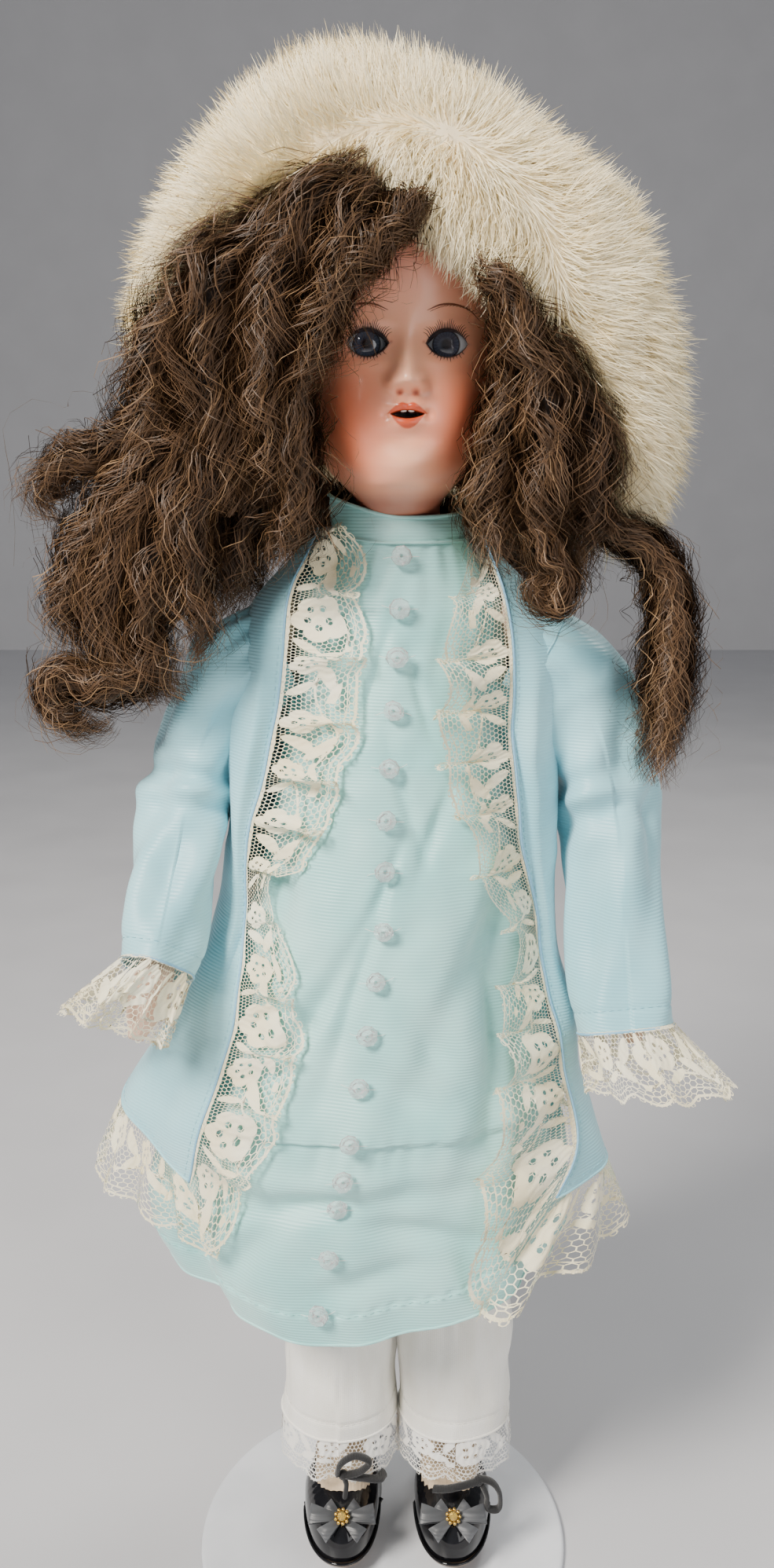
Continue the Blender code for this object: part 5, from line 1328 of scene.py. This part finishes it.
def lace(name, grid, length, stuff, shift, scallop=11.0, net=1.75, fine=0.42, share=1.0):
    """Lace over a gridded surface: rows go along its length, columns from sewn to free edge."""
    rows, cols = grid.shape[:2]
    width = np.linalg.norm(grid[:, -1] - grid[:, 0], axis=1).mean() * 1000

    def at(a, b, lift=0.0):
        i = np.clip(np.asarray(a) / length * (rows - 1), 0, rows - 1.001)
        j = np.clip(np.asarray(b) / width * (cols - 1), 0, cols - 1.001)
        r, c = i.astype(int), j.astype(int)
        f, g = (i - r)[..., None], (j - c)[..., None]
        low = grid[r, c] * (1 - f) + grid[r + 1, c] * f
        high = grid[r, c + 1] * (1 - f) + grid[r + 1, c + 1] * f
        point = low * (1 - g) + high * g
        if lift:
            normal = np.cross(grid[r + 1, c] - grid[r, c], grid[r, c + 1] - grid[r, c])
            point = point + lift * normal / (np.linalg.norm(normal, axis=-1, keepdims=True) + 1e-12)
        return point

    def edge(a):
        return width - 2.0 + 1.5 * np.abs(np.sin(np.pi * a / scallop)) ** 0.8

    points, quads, base = [], [], 0

    def put(corners, lift=0.0):
        nonlocal base
        flat = corners.reshape(-1, 2)
        points.append(at(flat[:, 0], flat[:, 1], lift))
        quads.append(base + np.arange(len(flat)).reshape(-1, 4))
        base += len(flat)

    def strokes(p, q, half, lift=0.0):
        way = q - p
        side = np.stack([-way[:, 1], way[:, 0]], 1)
        side *= half / (np.linalg.norm(side, axis=1, keepdims=True) + 1e-9)
        reach = way / (np.linalg.norm(way, axis=1, keepdims=True) + 1e-9) * half * 0.6
        put(np.stack([p - side - reach, q - side + reach, q + side + reach, p + side - reach], 1), lift)

    pitch_a, pitch_b = net, net * 0.866
    ia, ib = np.meshgrid(np.arange(-1, int(length / pitch_a) + 2), np.arange(-1, int(width / pitch_b) + 2))
    ca = (ia + 0.5 * (ib % 2)).ravel() * pitch_a
    cb = ib.ravel() * pitch_b
    reach = net / math.sqrt(3)
    for k in range(3):
        one, two = math.radians(90 + 60 * k), math.radians(150 + 60 * k)
        p = np.stack([ca + reach * math.cos(one), cb + reach * math.sin(one)], 1)
        q = np.stack([ca + reach * math.cos(two), cb + reach * math.sin(two)], 1)
        m = (p + q) / 2
        keep = ((m[:, 0] > 0.2) & (m[:, 0] < length - 0.2) & (m[:, 1] > 0) & (m[:, 1] < edge(m[:, 0]))
                & (motif(m[:, 0], m[:, 1] / share, shift) < 0.25))
        strokes(p[keep], q[keep], 0.115)

    na, nb = int(length / fine), int(width / fine)
    a, b = np.meshgrid(np.linspace(0, length, na + 1), np.linspace(0, width, nb + 1), indexing="ij")
    field = np.minimum(motif(a, b / share, shift), edge(a) - 0.2 - b)
    up, across = np.gradient(field, length / na, width / nb)
    steep = np.sqrt(up ** 2 + across ** 2) + 1e-6
    move = np.where(np.abs(field) < fine * 0.9, np.clip(-field / steep, -fine * 0.7, fine * 0.7), 0)
    a2, b2 = a + move * up / steep, np.clip(b + move * across / steep, 0, width)
    faces = grid_faces(na + 1, nb + 1)
    corner = field.ravel()[faces]
    faces = faces[(corner > -fine * 0.9).all(1) & (corner.mean(1) > -fine * 0.25)]
    used, faces = np.unique(faces, return_inverse=True)
    satin = 0.00010 * np.sin(a2.ravel()[used] * 2.6 + 2.0 * np.sin(b2.ravel()[used] * 0.9))
    solid = at(a2.ravel()[used], b2.ravel()[used], 0.00012)
    solid = solid + satin[:, None] * np.array((0.2, -1.0, 0.1))
    points.append(solid)
    quads.append(base + faces.reshape(-1, 4))
    base += len(solid)

    def cord(a, b, half, lift):
        line = np.stack([a, b], 1)
        strokes(line[:-1], line[1:], half, lift)

    run = np.arange(0.4, length - 0.4, 0.7)
    cord(run, edge(run), 0.36, 0.00010)
    cord(run, edge(run) - 2.4, 0.16, 0.00006)
    ring_at = np.arange(1.0, length - 1.0, 2.1)
    angle = np.linspace(-0.6, math.pi + 0.6, 7)
    for k in range(6):
        p, q = (np.stack([ring_at + 0.55 * math.cos(t), edge(ring_at) + 0.55 + 0.62 * math.sin(t)], 1)
                for t in (angle[k], angle[k + 1]))
        strokes(p, q, 0.13, 0.00006)
    run = run[np.abs(np.mod(run / 6.0, 1) - 0.5) < 0.5]
    cord(run, 0.55 + 0.3 * np.abs(np.sin(np.pi * run / 3.2)), 0.25, 0.00025)
    return build(name, np.concatenate(points), np.concatenate(quads), stuff)


FREE_LEFT = ((0, -9.5, 352), (0.05, -7.5, 337), (0.185, -5, 310), (0.33, -10, 282), (0.40, -15, 268),
             (0.48, -22, 252),
             (0.53, -33, 244), (0.62, -29, 227), (0.71, -25, 210), (0.81, -26.5, 190), (0.90, -34, 168),
             (1, -51, 132))
FREE_RIGHT = ((0, 24, 343), (0.07, 20.5, 329), (0.19, 16.5, 306), (0.28, 15.8, 289), (0.36, 19, 273),
              (0.445, 25, 257),
              (0.56, 34, 234), (0.61, 40.5, 224), (0.67, 35, 212), (0.775, 36, 191), (0.875, 32, 168),
              (0.95, 27, 140), (1, 28, 113))


def ruffle(edge_line, free_line, waves, height, seed, cols=15, lap=0.35):
    """A gathered strip between two lines of points: it billows more towards its free edge."""
    rows = len(edge_line)
    s = np.linspace(0, 1, rows)[:, None]
    t = np.linspace(0, 1, cols)[None]
    phase = TAU * waves * s + 0.9 * np.sin(TAU * 2.3 * s + seed) + seed
    across = free_line - edge_line
    along_way = np.gradient((edge_line + free_line) / 2, axis=0)
    along_way = unit(along_way)
    normal = np.cross(along_way, across)
    normal = unit(normal)
    wave = np.sin(phase) + 0.35 * np.sin(2.1 * phase + 1.3)
    push = height * t ** 0.8 * wave * (0.7 + 0.3 * np.sin(TAU * 3.1 * s + 2 * seed))
    slide = lap * height * t * np.cos(phase) * 1.6
    droop = 0.10 * np.linalg.norm(across, axis=1)[:, None] * t * np.sin(1.7 * phase + 0.5) * 0.5
    return (edge_line[:, None] + t[..., None] * across[:, None] + push[..., None] * normal[:, None]
            + slide[..., None] * along_way[:, None]
            + droop[..., None] * (unit(across))[:, None])


def off_the_dress(grid, gap):
    limit = dress_front(grid[..., 0], grid[..., 2]) - gap
    grid = grid.copy()
    y = grid[..., 1]
    grid[..., 1] = np.where(y > limit, limit - 0.0012 * np.tanh((y - limit) / 0.004), y)
    return grid


def make_coat_lace():
    rows = 420
    s = np.linspace(0, 1, rows)
    corners = {}
    for name, share, free, sign in (("right", 1.0, FREE_LEFT, -1), ("left", 0.0, FREE_RIGHT, 1)):
        knots = np.array(free, float)
        target = smooth(knots[:, 0], knots[:, 1:] * MM, s)
        edge_line = coat_surface(np.full(rows, share), 1 - s)
        edge_line = edge_line + np.array((-sign * 0.0004, -0.0006, 0))
        y = dress_front(target[:, 0], target[:, 1]) - 0.0048
        y = np.minimum(y, BODY_Y - 0.0215 - 0.010 * step(0.25, 0.14, target[:, 1]))
        free_line = np.stack([target[:, 0], y, target[:, 1]], 1)
        grid = ruffle(edge_line, free_line, 12, 0.0042, 1.0 + sign, lap=0.65)
        grid = off_the_dress(grid, 0.0022)
        corners[name] = free_line[-1]
        piece = lace(name + "_front_lace", grid, 300, LACE, 7.0 if sign > 0 else 19.0, net=1.5)
        wear(piece, "body", name + "_coat_lace", slot="lace")

    share = np.linspace(0, 1, 560)
    edge_line = coat_surface(share, np.full(560, 0.003)) + np.array((0, 0, -0.0003))
    out = edge_line - np.array((DOLL_X, BODY_Y, 0))
    out[:, 2] = 0
    out = unit(out)
    free_line = edge_line + 0.0085 * out + np.array((0, 0, -0.0235))
    for end, corner in ((0, corners["left"]), (1, corners["right"])):
        pull = step(0.13, 0.0, np.abs(share - end))[:, None]
        offset = corner - edge_line[-end]
        free_line = free_line + (edge_line + offset - free_line) * pull
    grid = ruffle(edge_line, free_line, 23, 0.0038, 0.4, lap=0.55)
    wear(lace("coat_hem_flounce", grid, 430, LACE, 3.0), "body", "coat_hem_lace", slot="lace")


def make_cuff_lace(side):
    sign = SIDES[side]
    turn = np.linspace(0, TAU, 260)
    edge_line = sleeve_surface(side, 0.997, turn)
    row = np.array(SLEEVES[side][-1], float)
    centre, way = row[:3] * MM, row[3:6] / np.linalg.norm(row[3:6])
    spread = edge_line - centre
    outward = np.array((float(sign), 0.0, 0.0))
    free_line = (centre + way * 0.0185 + outward * 0.0085 + spread * 1.42
                 + way * 0.0030 * np.cos(turn + 0.6)[:, None])
    grid = ruffle(edge_line, free_line, 9, 0.0026, 0.7 + sign, lap=0.5)
    grid[-1] = grid[0]
    piece = lace(side + "_cuff_flounce", grid, 165, LACE, 11.0 + sign)
    wear(piece, side + "_forearm", side + "_cuff_lace", slot="lace")


# ---------------------------------------------------------------- drawers, stockings, shoes, stand
LEG_HEM, TUCK_LEG, LEG_SPLIT = 0.0465, 0.0530, 0.128


def leg_cloth(sign, turn, z):
    """One leg of the drawers."""
    radius = np.interp(z, (0.041, 0.080, 0.120, 0.175), (0.0196, 0.0190, 0.0190, 0.0195))
    fold = (0.9 * np.cos(3 * turn + 1.0 * sign + 30 * z) + 0.5 * np.cos(7 * turn - 34 * z + 2)
            + 0.15 * np.cos(17 * turn + sign)) * step(0.040, 0.080, z)
    fold = fold + 0.9 * wobble(0.02 * turn, z, 0.03, 41 + sign)
    fold = fold - 0.5 * bell(z - TUCK_LEG, 0.0006)
    r = radius + fold * MM
    x = DOLL_X + sign * 0.0197
    return xyz(x + r * np.sin(turn), BODY_Y - r * 0.98 * np.cos(turn), z)


def make_drawers():
    turn = circle(150)[None]
    hip_x = JOINT["left_hip_swing"]["pos_m"][0] - DOLL_X
    for side, sign in SIDES.items():
        x = DOLL_X + sign * hip_x
        for part, top, low, rows, one, two, start, end in (
                ("_drawers_thigh", 0.176, LEG_SPLIT, 34, "body", side + "_thigh", 0.182, 0.150),
                ("_drawers_leg", LEG_SPLIT, LEG_HEM, 110, side + "_thigh", side + "_shin", 0.126, 0.096)):
            cloth = leg_cloth(sign, turn, np.linspace(top, low, rows)[:, None])
            hinge(sheet(side + part, cloth, COTTON, wrap=True, flip=True), "pantaloons", "cotton", one, two,
                 (x, BODY_Y, start), (x, BODY_Y, end))
        rim = leg_cloth(sign, turn[0], np.full(150, LEG_HEM))
        wear(tube(side + "_drawers_hem", rim, 0.0005, COTTON, sides=7, closed=True), side + "_shin",
             "pantaloons")
        ring_line = leg_cloth(sign, turn[0], np.full(150, TUCK_LEG))
        ring_line = ring_line + 0.00045 * xyz(np.sin(turn[0]), -np.cos(turn[0]), 0)
        stitches(side + "_drawers_stitches", np.concatenate([ring_line, ring_line[:1]]), 0.0013, 0.0008,
                 0.00009,
                 WHITE_LACE, side + "_shin", "pantaloons")
        around = np.linspace(0, TAU, 220)
        edge_line = leg_cloth(sign, around, np.full(220, 0.0480))
        free_line = edge_line + xyz(0.0012 * np.sin(around), -0.0014 * np.cos(around), -0.0160)
        grid = ruffle(edge_line, free_line, 8, 0.0008, 2.0 + sign, lap=0.3)
        grid[-1] = grid[0]
        piece = lace(side + "_leg_flounce", grid, 132, WHITE_LACE, 5.0 * sign, scallop=8.0, net=1.4,
                     share=0.68)
        wear(piece, side + "_shin", side + "_pantaloon_lace", slot="lace")

    z = np.linspace(0.165, 0.228, 40)[:, None]
    half = smooth((0.165, 0.185, 0.200, 0.216, 0.228), (0.0395, 0.0405, 0.0370, 0.0325, 0.0300), z)
    deep = smooth((0.165, 0.185, 0.200, 0.216, 0.228), (0.0215, 0.0235, 0.0240, 0.0220, 0.0205), z)
    pleat = 0.0005 * np.cos(26 * turn) * step(0.20, 0.228, z)
    seat = xyz(DOLL_X + (half + pleat) * np.sin(turn), BODY_Y - (deep + pleat) * np.cos(turn), z)
    wear(sheet("drawers_seat", seat, COTTON, wrap=True), "body", "pantaloons")
    wear(tube("drawers_waistband", seat[-1], 0.0012, COTTON, sides=8, closed=True), "body", "pantaloons")


# z, middle y, half width and half depth of the stocking
SOCK = np.array((
    (0.0195, 0.0045, 0.0103, 0.0190), (0.026, 0.0068, 0.0100, 0.0150), (0.034, 0.0115, 0.0093, 0.0100),
    (0.045, 0.0115, 0.0098, 0.0100), (0.078, 0.0095, 0.0122, 0.0124)))


def make_sock(side, x, shin):
    turn = circle(90)
    z_sock = np.linspace(0.078, 0.0195, 90)
    cy, rx, ry = smooth(SOCK[:, 0], SOCK[:, 1:], z_sock).T
    slouch = (0.0004 * np.sin(z_sock * 900 + 1.5)[:, None]
              * (0.5 + 0.5 * np.cos(turn + 2 * z_sock[:, None] * 60)))
    rib = 0.00012 * np.cos(30 * turn)[None]
    out = slouch + rib
    sock = xyz(x + (rx[:, None] + out) * np.sin(turn), cy[:, None] - (ry[:, None] + out) * np.cos(turn),
               z_sock[:, None])
    wear(sheet(side + "_sock", sock, KNIT, wrap=True, flip=True), shin, side + "_stocking", slot="stocking")


def make_shoe(side, x, shin):
    """Patent upper, topline, leather sole and welt; gives back the upper's grid."""
    sign = SIDES[side]
    sole_low, sole_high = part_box(side + "_shoe_sole")
    middle, reach = (sole_high.y + sole_low.y) / 2, (sole_high.y - sole_low.y) / 2

    def outline(angle, grow):
        s, c = np.sin(angle), np.cos(angle)
        half = np.where(s > 0, 0.0112, 0.0128) * (1 + 0.06 * sign * c * (s < 0))
        return (x + grow * half * np.sign(c) * np.abs(c) ** 0.9, middle + grow * reach * s)

    angle = circle(120)
    spring = 0.0018 * np.clip(-np.sin(angle), 0, None) ** 3
    base = sole_low.z + 0.0018
    t = np.linspace(0, 1, 40)[:, None]
    foot_x, foot_y = outline(angle, 1.0)
    open_x = x + 0.0100 * np.cos(angle)
    open_y = 0.0125 + np.where(np.sin(angle) > 0, 0.0135, 0.0150) * np.sin(angle)
    open_z = 0.0262 - 0.0030 * np.cos(angle) ** 2 + 0.0004 * np.sin(angle)
    w = 1 - np.cos(t * np.pi / 2) ** 1.15
    belly = 0.0006 * np.sin(np.pi * np.clip(t * 1.6, 0, 1))
    ux = foot_x + (open_x - foot_x) * w + belly * np.cos(angle)
    uy = foot_y + (open_y - foot_y) * w + belly * np.sin(angle)
    lift = np.sin(t * np.pi / 2) ** np.where(np.sin(angle) < 0, 0.80, 0.95)
    uz = base + spring * (1 - t) + (open_z - base) * lift
    crease = 0.0002 * np.sin(uy * 2600) * bell(uy + 0.004, 0.004)
    upper = xyz(ux, uy, uz + crease)
    wear(sheet(side + "_patent_upper", upper, PATENT, wrap=True), shin, side + "_shoe_upper", slot="patent")
    wear(tube(side + "_topline", upper[-1], 0.00055, PATENT, sides=8, closed=True), shin, side
         + "_shoe_upper")
    rows = []
    for grow, drop in ((0.0, 0.0018), (0.9, 0.0018), (0.985, 0.0016), (1.03, 0.0008), (1.035, 0.0002),
                       (1.01, 0.0), (0.95, 0.0)):
        sx, sy = outline(angle, max(grow, 0.001))
        rows.append(xyz(sx, sy, base - drop + spring * min(1, grow)))
    wear(sheet(side + "_leather_sole", np.stack(rows), SOLE, wrap=True, flip=True), shin, side
         + "_shoe_sole",
         slot="shoe_leather")
    sx, sy = outline(angle, 1.035)
    wear(tube(side + "_welt", xyz(sx, sy, base + 0.0003 + spring), 0.0005, PATENT, sides=7, closed=True),
         shin, side + "_shoe_sole")
    return upper


def make_bow(side, shin, upper):
    """Satin bow: folded loops and tails round a jewel, on the front of the upper."""
    front = upper.shape[1] * 3 // 4
    spot = np.argmin(np.abs(upper[:, front, 1] + 0.0175))
    up_slope = upper[spot + 1, front] - upper[spot - 1, front]
    up_slope /= np.linalg.norm(up_slope)
    out_of = np.array((0, -up_slope[2], up_slope[1]))
    tilt = np.stack([(1, 0, 0), -out_of, up_slope])
    knot = upper[spot, front] + 0.0007 * out_of
    parts = []
    for way, long, wide, ahead in ((172, 11.0, 3.2, 0.4), (8, 11.0, 3.2, 0.4), (218, 8.5, 2.6, 0.9),
                                   (-38, 8.5, 2.6, 0.9),
                                   (140, 7.0, 2.4, -0.5), (40, 7.0, 2.4, -0.5)):
        c, s_ = math.cos(math.radians(way)), math.sin(math.radians(way))
        u = np.linspace(0, 1, 30)[:, None]
        v = np.linspace(-1, 1, 9)[None]
        loop = np.sin(np.pi * u)
        out = long * np.sin(np.pi * u) ** 0.8 * (1 - 0.10 * v ** 2 * (1 - loop))
        thick = 1.5 * np.cos(np.pi * u) * loop ** 0.5
        spread = v * wide * (0.30 + 0.70 * loop)
        px = out * c - spread * s_
        pz = out * s_ + spread * c
        py = -thick - ahead - 0.35 * loop * np.cos(2.5 * v) - 0.02 * out * np.abs(c)
        parts.append(sheet("bow_part", knot + MM * xyz(px, py, pz) @ tilt, SATIN))
    wear(joined(side + "_satin_bow", parts), shin, side + "_shoe_bow", slot="ribbon")

    gem = knot + 0.0030 * out_of
    gold = []
    for k in range(9):
        a = TAU * k / 9
        gold.append(ball_part(gem + 0.0021 * np.array((math.cos(a), 0.0, math.sin(a))) @ tilt, 0.00066,
                              GILT))
    gold.append(ball_part(gem - 0.0006 * out_of, 0.0017, GILT, 0.6))
    setting = joined(side + "_jewel_setting", gold)
    wear(setting, shin, side + "_shoe_jewel", slot="gilt")
    a = TAU * np.arange(10) / 10
    rows = [gem + xyz(r * np.cos(a + tw), -h, r * np.sin(a + tw)) @ tilt
            for r, h, tw in ((0.0015, 0.0002, 0), (0.0015, 0.0007, 0), (0.0009, 0.0013, 0.31),
                             (0.00002, 0.00132, 0.31))]
    stone = sheet(side + "_jewel_stone", np.stack(rows), TOPAZ, wrap=True)
    stone.data.polygons.foreach_set("use_smooth", [False] * len(stone.data.polygons))
    wear(stone, shin, side + "_shoe_jewel")


def make_cord(side, shin):
    """Black cord tie: one shoe's loop stands up in front of the lace, the other's hangs outside."""
    if SIDES[side] < 0:
        lines = [((-15, -17, 39.3), (-14, -18, 43.5), (-8.5, -18.2, 47.2), (-4.2, -18, 44.6),
                  (-7, -17.8, 41), (-12, -17.2, 38.8)),
                 ((-13, -17, 38.8), (-7, -17.3, 38.0), (-1.5, -15.5, 36.0), (0.5, -10, 33.5)),
                 ((-13, -17, 38.8), (-12, -17, 35), (-12.5, -18, 31))]
    else:
        lines = [((31.5, -14.5, 35.5), (36.2, -14.6, 34), (39.4, -13.8, 28), (38.6, -13.4, 22),
                  (35.6, -13.8, 22.6),
                  (35.0, -14.2, 28), (33, -14.8, 33.5)),
                 ((32, -14.8, 34.5), (27, -16.8, 34.5), (21, -17.2, 33.5), (17, -16.0, 32.5))]
    cords = [tube("cord_part", along(np.array(line) * MM, 50), 0.00165, CORD, sides=9, flat=0.5)
             for line in lines]
    cords.append(ball_part(np.array(lines[1][0]) * MM, 0.0017, CORD))
    wear(joined(side + "_cord_tie", cords), shin, side + "_shoe_tie")


def make_foot(side):
    x, shin = JOINT[side + "_knee_bend"]["pos_m"][0], side + "_shin"
    make_sock(side, x, shin)
    make_bow(side, shin, make_shoe(side, x, shin))
    make_cord(side, shin)


def ball_part(centre, radius, stuff, flat=1.0):
    u = np.linspace(0.05, math.pi - 0.05, 9)[:, None]
    v = circle(12)[None]
    grid = xyz(centre[0] + radius * np.sin(u) * np.cos(v), centre[1]
               + flat * radius * np.sin(u) * np.sin(v), centre[2] + radius * np.cos(u) + 0 * v)
    return sheet("ball_part", grid, stuff, wrap=True, flip=True)


def make_stand():
    low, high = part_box("stand_base")
    radius, top = (high.x - low.x) / 2, high.z
    profile = ((0.0001, 0.0), (radius - 0.0012, 0.0), (radius - 0.0003, 0.0003), (radius, 0.0010),
               (radius - 0.0003, 0.0019),
               (radius - 0.0012, top), (radius - 0.0040, top), (0.0001, top))
    angle = circle(180)
    rows = [xyz(r * np.cos(angle), r * np.sin(angle), z) for r, z in profile]
    wear(sheet("enamel_base", np.stack(rows), ENAMEL, wrap=True), "stand", "stand_base",
         slot="enamelled_steel")


make_coat_lace()
for name in SIDES:
    make_cuff_lace(name)
    make_foot(name)
make_drawers()
make_stand()

# ---------------------------------------------------------------- studio
def studio():
    scene = bpy.context.scene
    floor_stuff = plain("floor_stuff", (0.56, 0.56, 0.58), (0.53, 0.53, 0.55), 0.8, 0.01, 0.02)
    edge = 14.0
    floor = build("studio_floor", np.array([(-edge, -edge, 0), (edge, -edge, 0), (edge, edge, 0),
                                            (-edge, edge, 0)]), np.array([[0, 1, 2, 3]]), floor_stuff)
    wall = build("studio_wall", np.array([(-edge, 2.6, -0.01), (edge, 2.6, -0.01), (edge, 2.6, 9),
                                          (-edge, 2.6, 9)]), np.array([[0, 1, 2, 3]]), floor_stuff)
    world = bpy.data.worlds.new("studio")
    world.use_nodes = True
    world.node_tree.nodes["Background"].inputs[0].default_value = (0.80, 0.84, 0.90, 1)
    world.node_tree.nodes["Background"].inputs[1].default_value = 0.30
    scene.world = world
    for name, place, size, power, colour in (
            ("key", (-0.72, -0.74, 1.10), 0.40, 36, (1.0, 0.94, 0.86)),
            ("fill", (0.9, -0.9, 0.55), 0.9, 6.5, (1.0, 0.98, 0.96)),
            ("back", (0.45, 0.60, 1.3), 0.5, 9, (1.0, 0.97, 0.92))):
        lamp = bpy.data.lights.new(name, "AREA")
        lamp.size = size
        lamp.energy = power
        lamp.color = colour
        obj = bpy.data.objects.new(name, lamp)
        obj.location = place
        obj.rotation_euler = (Vector((0, 0, 0.25)) - Vector(place)).to_track_quat("-Z", "Y").to_euler()
        scene.collection.objects.link(obj)
    camera = bpy.data.cameras.new("camera")
    camera.sensor_fit = "VERTICAL"
    camera.sensor_height = 36
    camera.lens = 28.86
    camera.clip_start = 0.01
    obj = bpy.data.objects.new("camera", camera)
    obj.location = (0.0015, -0.372, 0.355)
    obj.rotation_euler = (math.radians(77.1), 0, 0)
    scene.collection.objects.link(obj)
    scene.camera = obj


studio()
